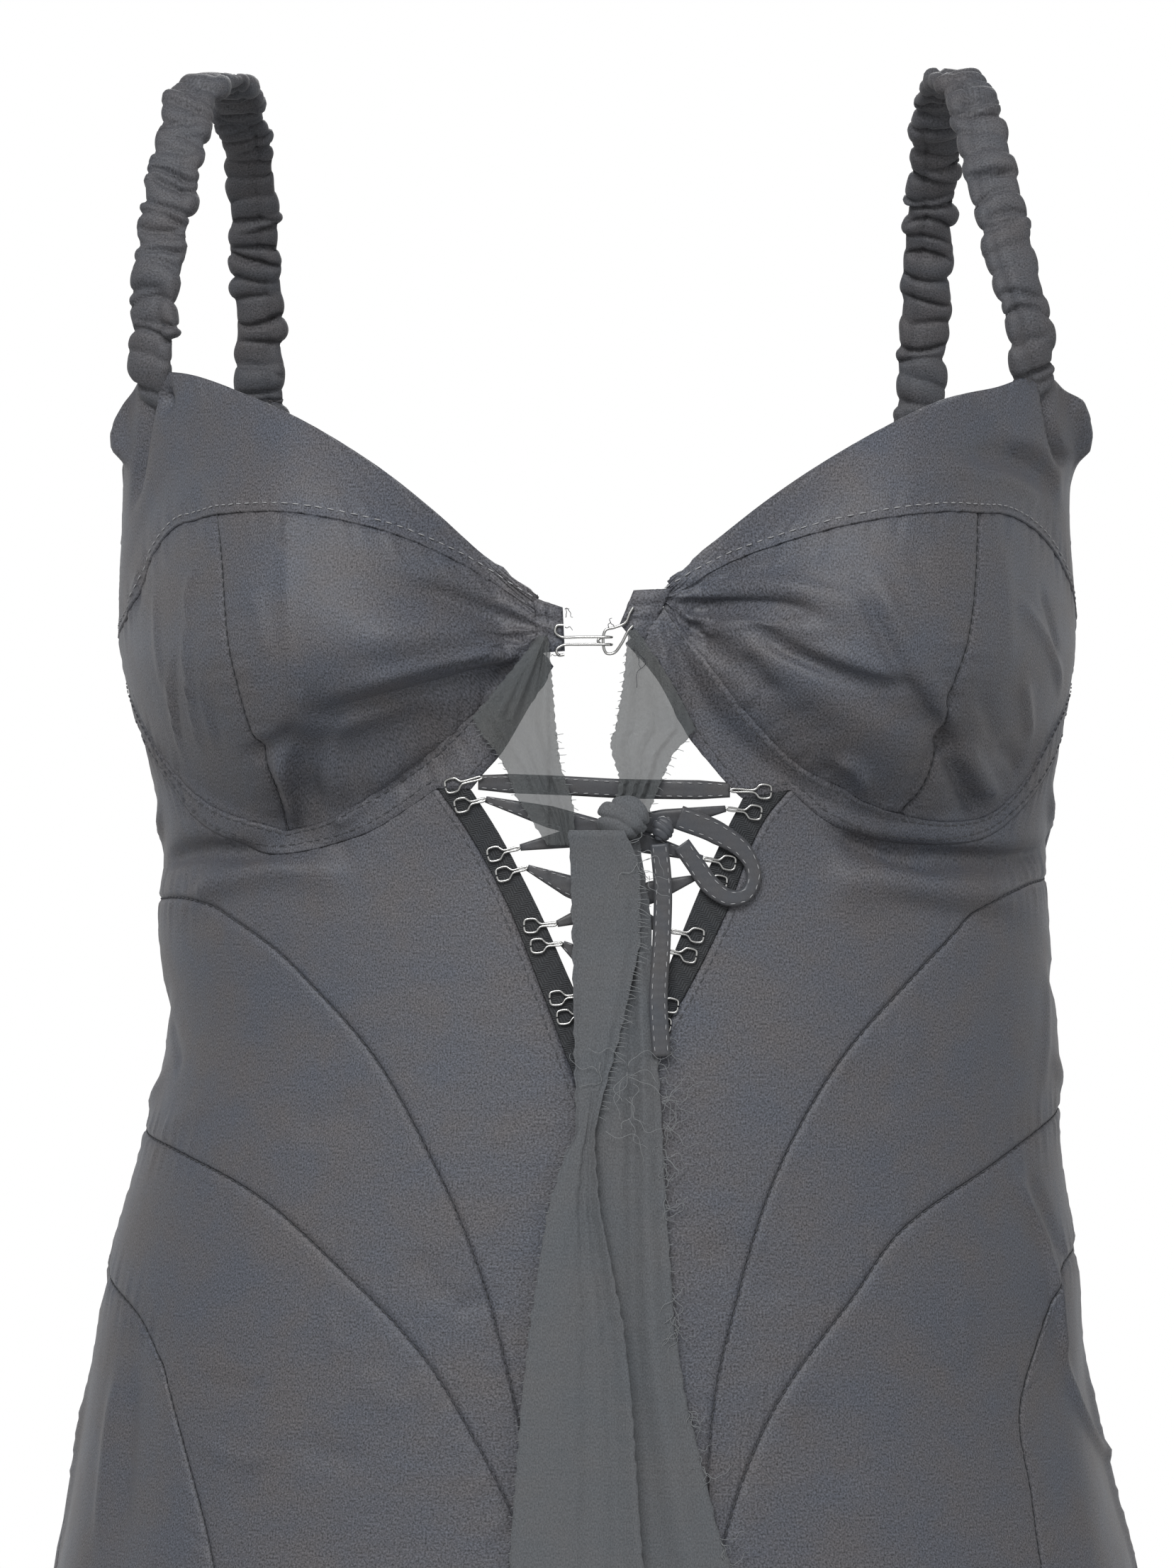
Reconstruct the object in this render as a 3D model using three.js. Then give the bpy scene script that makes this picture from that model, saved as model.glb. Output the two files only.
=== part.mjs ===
// A strappy dress of stretch satin, filled out as if worn, with nobody in it: ruched elastic straps,
// wired cups, a laced window under the bust, a chiffon scarf tied in it, and a gored skirt to the knee.
// Millimetres. +Z is up, the front faces -Y, and +X is on the right as seen from the front.
// The origin is midway between the straps, level with where they rest on the wearer's shoulders.
import * as THREE from "three";

// Driving dimensions
const SATIN = 1.6; // wall of the satin pieces
const CHIFFON = 1.0; // wall of the chiffon scarf
const RIBBON = 1.0; // wall of the flat lace
const SEAM = 0.2; // each piece stops this far from its seam line
const HEM_Z = -1000; // knee length, measured down from the shoulders
const ROUNDNESS = 0.86; // power of sine and cosine in a section: 1 is an ellipse, less is squarer
const TURN_MM = 2.1; // rough length of one degree of turn round the body
const LACE_WIDTH = 6;
const CLASP_WIRE = 0.5; // radius of the wire of the bust clasp
const EYE_WIRE = 0.35; // radius of the wire of the small lacing hooks
const EYE_LIFT = 1.1; // height of that wire's middle over the tape
const EYE_NECK = 2.3; // from the middle of a lacing hook's sewing loop to where its arm starts
const STRAP_WIDTH = 16;
const STRAP_THICKNESS = 5;
const STRAP_FOLDS = 52; // gathers along one strap

// Sections of the worn dress: half widths to the left and right, depths to the front and back
const SECTIONS = [
  { z: -60, left: 156, right: 160, front: 80, back: 80 },
  { z: -100, left: 158, right: 164, front: 88, back: 88 },
  { z: -118, left: 160, right: 167, front: 91, back: 91 },
  { z: -140, left: 160, right: 163, front: 95, back: 95 },
  { z: -190, left: 161, right: 165, front: 99, back: 98 },
  { z: -217, left: 155, right: 161, front: 98, back: 97 },
  { z: -256, left: 146, right: 155, front: 97, back: 92 },
  { z: -285, left: 148, right: 156, front: 99, back: 88 },
  { z: -324, left: 145, right: 159, front: 103, back: 86 },
  { z: -362, left: 154, right: 160, front: 107, back: 90 },
  { z: -401, left: 165, right: 166, front: 111, back: 98 },
  { z: -440, left: 171, right: 168, front: 115, back: 106 },
  { z: -480, left: 177, right: 177, front: 119, back: 114 },
  { z: -505, left: 182, right: 184, front: 122, back: 120 },
  { z: -600, left: 198, right: 199, front: 132, back: 132 },
  { z: -750, left: 217, right: 218, front: 148, back: 146 },
  { z: HEM_Z, left: 247, right: 248, front: 172, back: 170 },
];

// The two cups: where each stands out most, by how much, and how far its roundness reaches
const CUP_POWER = 1.6; // 2 makes a cup's foot an ellipse, less makes it straighter at the diagonals
const CUPS = [
  { x: -100, z: -195, height: 36, inward: 72, outward: 62, up: 98, down: 56 },
  { x: 103, z: -195, height: 36, inward: 72, outward: 62, up: 98, down: 56 },
];

// Gathers that fan out over a cup from the tab that holds it, each pitch degrees from the next,
// and highest at reach from the tab
const GATHERS = [
  { x: -14, z: -188, hand: -1, height: 1.4, pitch: 30, reach: 36 },
  { x: 20, z: -177, hand: 1, height: 1.4, pitch: 27, reach: 36 },
];

// The largest other folds, each a soft trough (height below 0) or ridge along a line
const FOLDS = [
  { x0: -90, z0: -216, x1: -97, z1: -248, width: 8, height: -4 },
  { x0: 60, z0: -192, x1: 115, z1: -222, width: 7, height: -4 },
  { x0: 117, z0: -226, x1: 128, z1: -246, width: 7, height: -3 },
  { x0: -147, z0: -262, x1: -84, z1: -258, width: 6, height: -3 },
  { x0: -145, z0: -275, x1: -90, z1: -266, width: 7, height: 3 },
  { x0: 88, z0: -259, x1: 152, z1: -268, width: 6, height: -3 },
  { x0: 86, z0: -270, x1: 152, z1: -279, width: 7, height: 3 },
  { x0: 158, z0: -400, x1: 168, z1: -500, width: 8, height: 5 },
  { x0: -150, z0: -425, x1: -158, z1: -500, width: 9, height: -4 },
];

// The skirt's flutes: waves round the body, from nothing at the hip to their height at the hem
const FLUTES_TOP = -470;
const FLUTES = [
  { count: 7, shift: 20, height: 8 },
  { count: 11, shift: 65, height: 5 },
];

// Seam lines. A point is [x, z] as seen from the front, or { turn, z } round the body.
const SIDE_Z = { armhole: -150, wire: -203, under: -213, hip: -545 };
const CENTRE = { apex: [6, -356], petals: [11, -488], joint: [11, -500], end: [12, HEM_Z] };
const TAPE_APEX = [9, -334];
const LEFT = {
  hand: "left",
  side: -90,
  cupZ: -188,
  goreZ: [-277, -355, -400],
  edge: [
    { turn: -81, z: -118 }, [-153, -101.5], [-147, -100], [-131, -102.5], [-100, -116],
    [-73, -132], [-51, -149], [-30, -168], [-17.5, -176.5],
  ],
  cupSeamSide: [[-155, -179], [-147, -162], [-138, -152], [-123, -148.5]],
  cupSeamFront: [[-97, -149], [-67, -155], [-51, -161], [-37, -168], [-16.2, -181]],
  wireSide: [[-151, -219], [-139, -236], [-127, -246], [-100, -254.5]],
  wireFront: [[-87, -251], [-64, -238], [-51, -229], [-37, -215], [-24, -203], [-15.5, -194.5]],
  dart: [[-120.5, -169], [-117, -199], [-112, -219], [-104, -238]],
  under: [[-144, -234], [-133, -248], [-116, -257.5], [-102, -260], [-75, -253.5], [-62, -246]],
  corner: [-51, -238.5],
  inner: [-40, -239],
  free: [[-36.6, -234.5], [-30.5, -227.5], [-22, -213], [-14, -199.5]],
  window: [[-42, -251], [-27, -278], [-15.5, -307], [-9.5, -323]],
  tape: [[-31.6, -252], [-17.5, -278.5], [-7, -302]],
  petalTop: [
    [-130, -277.5], [-107, -290.5], [-90, -306], [-68.6, -330.5], [-50.5, -363], [-37, -394],
    [-25, -436.5],
  ],
  petals: [-14.5, -488],
  petalUnder: [[-137, -360.5], [-108, -374], [-77, -400], [-54.7, -423], [-37, -451], [-26.6, -471]],
  joint: [-14, -500],
  jointEnd: [[-22, -600], [-36, -760], [-58, HEM_Z]],
  hipTop: [[-152, -414], [-142, -430]],
  hipFront: [[-133.5, -457.5], [-123.5, -493], [-115, -545]],
  hipEnd: [[-109, -640], [-130, HEM_Z]],
};
const RIGHT = {
  hand: "right",
  side: 90,
  cupZ: -182,
  goreZ: [-270, -347, -394],
  edge: [
    { turn: 81, z: -118 }, [156, -102], [147, -101.5], [135, -106], [116, -111],
    [93, -122.5], [60, -143], [41.5, -157.5], [25, -172.5],
  ],
  cupSeamSide: [[160.5, -167], [150, -154], [137, -148], [127, -148]],
  cupSeamFront: [[114, -148.3], [81, -153.5], [51, -162.3], [38, -168], [23.7, -176.3]],
  wireSide: [[155.5, -220], [142, -241], [131, -249.5], [116, -251.5], [101, -249.6]],
  wireFront: [[86.5, -244], [66.5, -233], [49, -216], [37.5, -201], [29, -189], [23.2, -179.2]],
  dart: [[125.8, -166], [122, -193], [116, -210.5], [114.5, -224], [108, -241]],
  under: [[149.5, -239], [133.5, -253.5], [122, -257], [105, -257.5], [89, -254.5], [76, -248.5]],
  corner: [65, -239],
  inner: [49.5, -242],
  free: [[45.5, -238], [32.6, -222], [22, -203], [12.3, -191.8]],
  window: [[56, -250], [44, -279], [31, -305], [20, -323]],
  tape: [[44, -253], [35, -272.5], [21.4, -305.5]],
  petalTop: [
    [145, -272], [128, -280.5], [97, -310], [78, -332.5], [57, -372], [43.6, -417.5], [38, -451],
  ],
  petals: [37, -488],
  petalUnder: [[151, -353], [134, -363], [102, -383], [84, -406], [61.5, -435.5], [48, -464]],
  joint: [37.5, -500],
  jointEnd: [[44, -600], [58, -760], [82, HEM_Z]],
  hipTop: [[158, -399], [150.5, -416.5]],
  hipFront: [[141.5, -446], [145, -470.5], [148, -495], [148, -545]],
  hipEnd: [[144, -640], [160, HEM_Z]],
};
const BACK_EDGE = [
  { turn: 90, z: SIDE_Z.armhole }, { turn: 106, z: -182 }, { turn: 124, z: -204 },
  { turn: 138, z: -212 }, { turn: 150, z: -245 }, { turn: 166, z: -312 }, { turn: 180, z: -336 },
  { turn: 194, z: -312 }, { turn: 210, z: -245 }, { turn: 222, z: -212 }, { turn: 236, z: -204 },
  { turn: 254, z: -182 }, { turn: 270, z: SIDE_Z.armhole },
];

// Middle lines of the straps, up from the cup, over the shoulder and down to the back
const STRAP_LEFT = [
  [-147, -41, -99], [-146.8, -43, -84], [-144.5, -42, -65], [-142.5, -38, -46], [-139.6, -31, -27],
  [-136, -20, -8], [-130, -5, 1.8], [-124, 13, 2], [-121, 36, -8], [-119.5, 60, -32],
  [-118.5, 77, -70], [-117, 83, -120], [-115, 81, -165], [-113, 76, -209],
];
const STRAP_RIGHT = [
  [147, -50, -100.5], [146, -49, -84], [141, -46, -65], [136.5, -40, -46], [133, -31, -27],
  [129, -20, -8], [125, -5, 1.8], [122, 13, 2], [120.5, 36, -8], [119.5, 60, -32],
  [118.5, 77, -70], [117, 83, -120], [116, 82, -165], [115, 78, -209],
];

// Lacing hooks, from the top: the middle of each sewing loop and the tip of its arm
const HOOKS = {
  left: [
    { x: -45.3, z: -238.4, tipX: -35.6, tipZ: -235.8 },
    { x: -42.2, z: -244.8, tipX: -34.6, tipZ: -243 },
    { x: -31.5, z: -260.7, tipX: -23.4, tipZ: -258.7 },
    { x: -28.6, z: -267.2, tipX: -21, tipZ: -265.2 },
    { x: -19.6, z: -284, tipX: -11.4, tipZ: -283.5 },
    { x: -17.4, z: -290.5, tipX: -9.5, tipZ: -289.8 },
    { x: -11.2, z: -307.4, tipX: -3, tipZ: -306.5 },
    { x: -8.8, z: -313.5, tipX: 0.6, tipZ: -312.4 },
  ],
  right: [
    { x: 55.9, z: -240.4, tipX: 45, tipZ: -240 },
    { x: 52.7, z: -247.2, tipX: 43.6, tipZ: -246 },
    { x: 44.2, z: -263.6, tipX: 36, tipZ: -262.3 },
    { x: 41.3, z: -270, tipX: 33.2, tipZ: -268.6 },
    { x: 33.8, z: -287.1, tipX: 25.4, tipZ: -285.8 },
    { x: 31.4, z: -293.6, tipX: 23.4, tipZ: -292 },
    { x: 25.4, z: -309.8, tipX: 17.4, tipZ: -308.6 },
    { x: 23, z: -316, tipX: 14.6, tipZ: -315 },
  ],
};

// Edges of the chiffon pieces, from the top, and how far some rows stand out from the body
const SCARF_STRIP_LIFT = 2.5;
const SCARF_STRIP_LEFT = [
  { left: -21.5, right: -15, z: -196.5, lift: 3 },
  { left: -26, right: -14, z: -202, lift: 3 },
  { left: -32, right: -13, z: -209, lift: 3 },
  { left: -38, right: -12.2, z: -217, lift: 3.3 },
  { left: -33, right: -11, z: -226, lift: 3.1 },
  { left: -27, right: -9.5, z: -234 },
  { left: -24, right: -6, z: -244 },
  { left: -19, right: -6, z: -257 },
];
const SCARF_STRIP_RIGHT = [
  { left: 12.6, right: 19, z: -195 },
  { left: 10.4, right: 25, z: -203.5 },
  { left: 9, right: 29.5, z: -211 },
  { left: 7.5, right: 33.5, z: -219 },
  { left: 7, right: 26, z: -227.5 },
  { left: 8.5, right: 23, z: -236 },
  { left: 7, right: 20, z: -243 },
  { left: 5.5, right: 16.5, z: -252.5 },
];
const FRONT_TAIL = [
  { left: -6.8, right: 12, z: -256, lift: 11.2 },
  { left: -6.6, right: 16, z: -267, lift: 9 },
  { left: -6.2, right: 15.6, z: -289, lift: 5.4 },
  { left: -5.8, right: 9, z: -320, lift: 4.4 },
  { left: -5.5, right: 3, z: -346, lift: 4.4 },
  { left: -9, right: 2.5, z: -360, lift: 4.4 },
  { left: -15, right: 3.5, z: -380, lift: 4.2 },
  { left: -20, right: 10, z: -412, lift: 4.2 },
  { left: -25, right: 14.5, z: -465, lift: 4.2 },
  { left: -28, right: 18, z: -510, lift: 4.2 },
  { left: -33, right: 24, z: -600, lift: 4.2 },
  { left: -36, right: 30, z: -690, lift: 4.2 },
];
const BACK_TAIL = [
  { left: 0, right: 14, z: -254.5, lift: 3 },
  { left: 0, right: 18, z: -280, lift: 2.7 },
  { left: -1, right: 21, z: -320, lift: 2.9 },
  { left: -3, right: 22.5, z: -345, lift: 2.6 },
  { left: -6, right: 24.5, z: -380, lift: 2.3 },
  { left: -8, right: 27.5, z: -418, lift: 2.3 },
  { left: -10, right: 35, z: -455, lift: 2.3 },
  { left: -12, right: 45, z: -490, lift: 2.3 },
  { left: -10, right: 52, z: -560, lift: 2.3 },
  { left: -6, right: 57, z: -650, lift: 2.3 },
  { left: -2, right: 62, z: -730, lift: 2.3 },
];
const TAIL_FOLD = 1.2; // height of the front tail's lengthwise folds
const SCARF_KNOT = { x: 8, z: -250, width: 20, height: 15, depth: 9, lift: 7.2 };

// The lace's knot, bow loop and free end, by middle line as seen from the front
const LACE_KNOT = { x: 23, z: -252.5, width: 7, height: 8, depth: 4, lift: 3.4 };
const BOW_LIFT = 2.8;
const BOW_LOOP = [
  [28.2, -248.8], [40, -253.5], [49.5, -260], [52.8, -267.5], [50.3, -273.8], [44.6, -275],
  [38.6, -271], [33.5, -264], [29, -257.6],
];
const LACE_END_LIFT = 4.5;
const LACE_END = [[21.8, -257.4], [23, -272], [22.5, -290], [21.5, -308], [22.5, -326]];
const [FRONT_LACE, REAR_LACE] = [0.3, -1.2]; // lifts of the laces that cross over and under

// The clasp, by points of [x, z, lift] over the body
const CLASP_HOOK = [
  [-9.2, -186.4, 1.9], [-11.4, -186.6, 1.9], [-12, -188.6, 1.9], [-10, -190.2, 1.9],
  [-4, -190.3, 2.4], [2.5, -190.3, 3.2], [5.4, -190.3, 2.9], [6.4, -190.3, 1.4],
  [5, -190.3, 0], [2.8, -190.5, -0.3], [1.9, -191.5, -0.3], [2.8, -192.5, -0.3],
  [5, -192.7, 0], [6.4, -192.7, 1.4], [5.4, -192.7, 2.9], [2.5, -192.7, 3.2],
  [-4, -192.7, 2.4], [-9.6, -193, 1.9], [-11.6, -194.6, 1.9], [-10.8, -196.2, 1.9], [-9, -196, 1.9],
];
const CLASP_EYE = [
  [13.4, -180.6, 1.9], [12.2, -182.6, 1.9], [10.8, -185.6, 1.9], [7.2, -187.2, 1.6],
  [4.6, -187.9, 1.4], [3.8, -189.4, 1.4], [3.8, -193.8, 1.4], [4.8, -195.6, 1.4],
  [7.2, -195.4, 1.5], [9.6, -192.4, 1.8], [11.6, -188.6, 1.9], [13.2, -186.6, 1.9],
];

const radians = (degrees) => (degrees * Math.PI) / 180;
const last = (list) => list[list.length - 1];

// A smooth value between the rows of a table that runs downwards in z
function valueAt(table, key, z) {
  const end = table.length - 1;
  let i = 0;
  while (i < end - 1 && z < table[i + 1].z) i++;
  const slope = (k) => {
    const before = table[Math.max(k - 1, 0)];
    const after = table[Math.min(k + 1, end)];
    return (after[key] - before[key]) / (after.z - before.z);
  };
  const [a, b] = [table[i], table[i + 1]];
  const span = b.z - a.z;
  const u = Math.min(Math.max((z - a.z) / span, 0), 1);
  const [u2, u3] = [u * u, u * u * u];
  return (
    (2 * u3 - 3 * u2 + 1) * a[key] +
    (u3 - 2 * u2 + u) * span * slope(i) +
    (3 * u2 - 2 * u3) * b[key] +
    (u3 - u2) * span * slope(i + 1)
  );
}

function cupHeight(x, z) {
  let height = 0;
  for (const cup of CUPS) {
    const out = (x - cup.x) * Math.sign(cup.x);
    const across = out / (out > 0 ? cup.outward : cup.inward);
    const along = (z - cup.z) / (z > cup.z ? cup.up : cup.down);
    const reach = (Math.abs(across) ** CUP_POWER + Math.abs(along) ** CUP_POWER) ** (1 / CUP_POWER);
    if (reach < 1) height += cup.height * (1 - reach ** 2.4) ** 1.3;
  }
  return height;
}

function gatherHeight(x, z) {
  let height = 0;
  for (const fan of GATHERS) {
    const out = (x - fan.x) * fan.hand;
    if (out <= 0) continue;
    const far = Math.hypot(out, z - fan.z) / fan.reach;
    const rise = far * Math.exp((1 - far * far) / 2);
    const angle = Math.atan2(z - fan.z, out);
    height += fan.height * rise * Math.cos((angle / radians(fan.pitch)) * 2 * Math.PI);
  }
  return height;
}

function foldHeight(x, z) {
  let height = 0;
  for (const fold of FOLDS) {
    const [dx, dz] = [fold.x1 - fold.x0, fold.z1 - fold.z0];
    const along = ((x - fold.x0) * dx + (z - fold.z0) * dz) / (dx * dx + dz * dz);
    const near = Math.min(Math.max(along, 0), 1);
    const distance = Math.hypot(x - fold.x0 - near * dx, z - fold.z0 - near * dz);
    height += fold.height * Math.exp(-((distance / fold.width) ** 2));
  }
  return height;
}

function fluteHeight(turn, z) {
  if (z > FLUTES_TOP) return 0;
  const drop = (FLUTES_TOP - z) / (FLUTES_TOP - HEM_Z);
  const wave = (flute) => flute.height * Math.cos(radians(flute.count * turn + flute.shift));
  return drop ** 1.3 * FLUTES.reduce((sum, flute) => sum + wave(flute), 0);
}

// A point of the dress: turn is 0 at the front centre, 90 at the right side, 180 at the back centre
function bodyPoint(turn, z) {
  const [sine, cosine] = [Math.sin(radians(turn)), Math.cos(radians(turn))];
  const front = cosine > 0;
  const width = valueAt(SECTIONS, sine < 0 ? "left" : "right", z);
  const depth = valueAt(SECTIONS, front ? "front" : "back", z);
  const flute = fluteHeight(turn, z);
  const x = width * Math.sign(sine) * Math.abs(sine) ** ROUNDNESS;
  const y = -depth * Math.sign(cosine) * Math.abs(cosine) ** ROUNDNESS;
  const creases = front ? (foldHeight(x, z) + gatherHeight(x, z)) * Math.min(1, cosine * 4) : 0;
  const relief = front ? cupHeight(x, z) + creases : 0;
  return new THREE.Vector3(x + flute * sine, y - flute * cosine - relief, z);
}

function bodyNormal(turn, z) {
  const round = bodyPoint(turn + 1, z).sub(bodyPoint(turn - 1, z));
  const down = bodyPoint(turn, z - 1).sub(bodyPoint(turn, z + 1));
  return down.cross(round).normalize();
}

// The turn of a point that is seen from the front at x
function turnAt(x, z) {
  const width = valueAt(SECTIONS, x < 0 ? "left" : "right", z);
  const share = Math.min(Math.abs(x) / width, 1);
  return (Math.sign(x) * Math.asin(share ** (1 / ROUNDNESS)) * 180) / Math.PI;
}

// A point seen from the front at x, standing out from the body by lift
function over(x, z, lift) {
  return new THREE.Vector3(x, bodyPoint(turnAt(x, z), z).y - lift, z);
}

// A line on the body cut into equal steps: its stations are (turn in TURN_MM, z)
function line(points, steps) {
  const flat = points.map((p) =>
    Array.isArray(p)
      ? new THREE.Vector3(turnAt(p[0], p[1]) * TURN_MM, p[1], 0)
      : new THREE.Vector3(p.turn * TURN_MM, p.z, 0),
  );
  const curve = new THREE.CatmullRomCurve3(flat, false, "centripetal");
  return curve.getSpacedPoints(steps).map((p) => new THREE.Vector2(p.x, p.y));
}

// Lines joined end to end
const joined = (...lines) => lines.flatMap((stations, i) => (i ? stations.slice(1) : stations));

// A closed solid with its faces pointing out, from vertices and quads or triangles
function solid(vertices, faces) {
  const index = faces.flatMap(([a, b, c, d]) => (d === undefined ? [a, b, c] : [a, b, c, a, c, d]));
  let volume = 0;
  for (let i = 0; i < index.length; i += 3) {
    const [a, b, c] = [vertices[index[i]], vertices[index[i + 1]], vertices[index[i + 2]]];
    volume += a.dot(new THREE.Vector3().crossVectors(b, c));
  }
  if (volume < 0) index.reverse();
  const geometry = new THREE.BufferGeometry().setFromPoints(vertices).setIndex(index);
  geometry.computeVertexNormals();
  return geometry;
}

// A wall between two grids of points of the same size
function wall(outer, inner) {
  const rows = outer.length;
  const columns = outer[0].length;
  const at = (layer, r, c) => (layer * rows + r) * columns + c;
  const faces = [];
  for (let r = 0; r < rows - 1; r++)
    for (let c = 0; c < columns - 1; c++) {
      faces.push([at(0, r, c), at(0, r, c + 1), at(0, r + 1, c + 1), at(0, r + 1, c)]);
      faces.push([at(1, r, c), at(1, r + 1, c), at(1, r + 1, c + 1), at(1, r, c + 1)]);
    }
  for (let c = 0; c < columns - 1; c++) {
    const r = rows - 1;
    faces.push([at(0, 0, c), at(1, 0, c), at(1, 0, c + 1), at(0, 0, c + 1)]);
    faces.push([at(0, r, c), at(0, r, c + 1), at(1, r, c + 1), at(1, r, c)]);
  }
  for (let r = 0; r < rows - 1; r++) {
    const c = columns - 1;
    faces.push([at(0, r, 0), at(0, r + 1, 0), at(1, r + 1, 0), at(1, r, 0)]);
    faces.push([at(0, r, c), at(1, r, c), at(1, r + 1, c), at(0, r + 1, c)]);
  }
  return solid([...outer.flat(), ...inner.flat()], faces);
}

// A solid through rings of points, closed at both ends
function throughRings(rings) {
  const sides = rings[0].length;
  const faces = [];
  for (let r = 0; r < rings.length - 1; r++)
    for (let k = 0; k < sides; k++) {
      const next = (k + 1) % sides;
      const [a, b] = [r * sides, (r + 1) * sides];
      faces.push([a + k, a + next, b + next, b + k]);
    }
  const end = (rings.length - 1) * sides;
  for (let k = 1; k < sides - 1; k++) {
    faces.push([0, k + 1, k]);
    faces.push([end, end + k, end + k + 1]);
  }
  return solid(rings.flat(), faces);
}

// Moves an edge of a panel inwards from its seam line
function inset(edge, inside) {
  return edge.map((p, i) => {
    const along = edge[Math.min(i + 1, edge.length - 1)].clone().sub(edge[Math.max(i - 1, 0)]);
    const across = new THREE.Vector2(-along.y, along.x).normalize();
    if (across.dot(inside[i].clone().sub(p)) < 0) across.negate();
    return p.clone().addScaledVector(across, SEAM);
  });
}

// A panel of cloth between four seam lines. top and bottom run the same way, from start to end;
// start and end run from top to bottom, and are straight unless given.
function panel({ top, bottom, start, end, across, lift = 0, thickness = SATIN }) {
  const steps = top.length - 1;
  const straight = (a, b) => Array.from({ length: across + 1 }, (_, k) => a.clone().lerp(b, k / across));
  const first = start ?? straight(top[0], bottom[0]);
  const final = end ?? straight(top[steps], bottom[steps]);
  const grid = top.map((_, i) => {
    const s = i / steps;
    return first.map((_, k) => {
      const v = k / across;
      const corners = top[0].clone().multiplyScalar((1 - s) * (1 - v));
      corners.addScaledVector(bottom[0], (1 - s) * v);
      corners.addScaledVector(top[steps], s * (1 - v));
      corners.addScaledVector(bottom[steps], s * v);
      const point = top[i].clone().multiplyScalar(1 - v).addScaledVector(bottom[i], v);
      return point.addScaledVector(first[k], 1 - s).addScaledVector(final[k], s).sub(corners);
    });
  });
  const column = (k) => grid.map((row) => row[k]);
  inset(column(0), column(1)).forEach((p, i) => (grid[i][0] = p));
  inset(column(across), column(across - 1)).forEach((p, i) => (grid[i][across] = p));
  grid[0] = inset(grid[0], grid[1]);
  grid[steps] = inset(grid[steps], grid[steps - 1]);
  const layer = (out) =>
    grid.map((row) =>
      row.map((p) => {
        const turn = p.x / TURN_MM;
        return bodyPoint(turn, p.y).addScaledVector(bodyNormal(turn, p.y), out);
      }),
    );
  return wall(layer(lift), layer(lift - thickness));
}

// A strip of cloth or lace in front of the body, from rows of { left, right, lift }, where left and
// right are [x, z] and lift is the height of its outer face
function strip(rows, across, thickness, fold = () => 0) {
  const layer = (sink) =>
    rows.map(({ left, right, lift }, i) =>
      Array.from({ length: across + 1 }, (_, k) => {
        const v = k / across;
        const x = THREE.MathUtils.lerp(left[0], right[0], v);
        const z = THREE.MathUtils.lerp(left[1], right[1], v);
        return over(x, z, lift + fold(i / (rows.length - 1), v) - sink);
      }),
    );
  return wall(layer(0), layer(thickness));
}

// Rows for strip() along the middle line of a lace that lies flat, at shares of its length
function laceRows(points, shares, lift, widthAt = () => LACE_WIDTH) {
  const middle = points.map(([x, z]) => new THREE.Vector3(x, 0, z));
  const curve = new THREE.CatmullRomCurve3(middle, false, "centripetal");
  return shares.map((s) => {
    const p = curve.getPointAt(s);
    const along = curve.getTangentAt(s);
    const [dx, dz] = [(along.z * widthAt(s)) / 2, (-along.x * widthAt(s)) / 2];
    return { left: [p.x + dx, p.z + dz], right: [p.x - dx, p.z - dz], lift };
  });
}
const evenly = (steps) => Array.from({ length: steps + 1 }, (_, i) => i / steps);

// A round wire along a curve
function wire(points, radius, steps, sides) {
  const path = new THREE.CatmullRomCurve3(points, false, "centripetal");
  const section = new THREE.Shape().absarc(0, 0, radius, 0, 2 * Math.PI);
  const settings = { extrudePath: path, steps, curveSegments: sides / 2, bevelEnabled: false };
  return new THREE.ExtrudeGeometry(section, settings);
}

// A knot, as a smooth lump
function lump({ x, z, width, height, depth, lift }, around, down) {
  const geometry = new THREE.SphereGeometry(0.5, around, down);
  geometry.scale(width, depth, height);
  return geometry.translate(...over(x, z, lift).toArray());
}

const satin = new THREE.MeshStandardMaterial({ color: 0x4b4c52, roughness: 0.6, metalness: 0 });
const chiffon = new THREE.MeshStandardMaterial({ color: 0x55595b, roughness: 0.9, metalness: 0 });
const twill = new THREE.MeshStandardMaterial({ color: 0x333538, roughness: 0.9, metalness: 0 });
const ribbon = new THREE.MeshStandardMaterial({ color: 0x3e4044, roughness: 0.5, metalness: 0 });
const steel = new THREE.MeshStandardMaterial({ color: 0xc8c8c4, roughness: 0.25, metalness: 1 });

const dress = new THREE.Group();
dress.name = "dress";
function add(name, geometry, material) {
  const mesh = new THREE.Mesh(geometry, material);
  mesh.name = name;
  dress.add(mesh);
}

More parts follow.
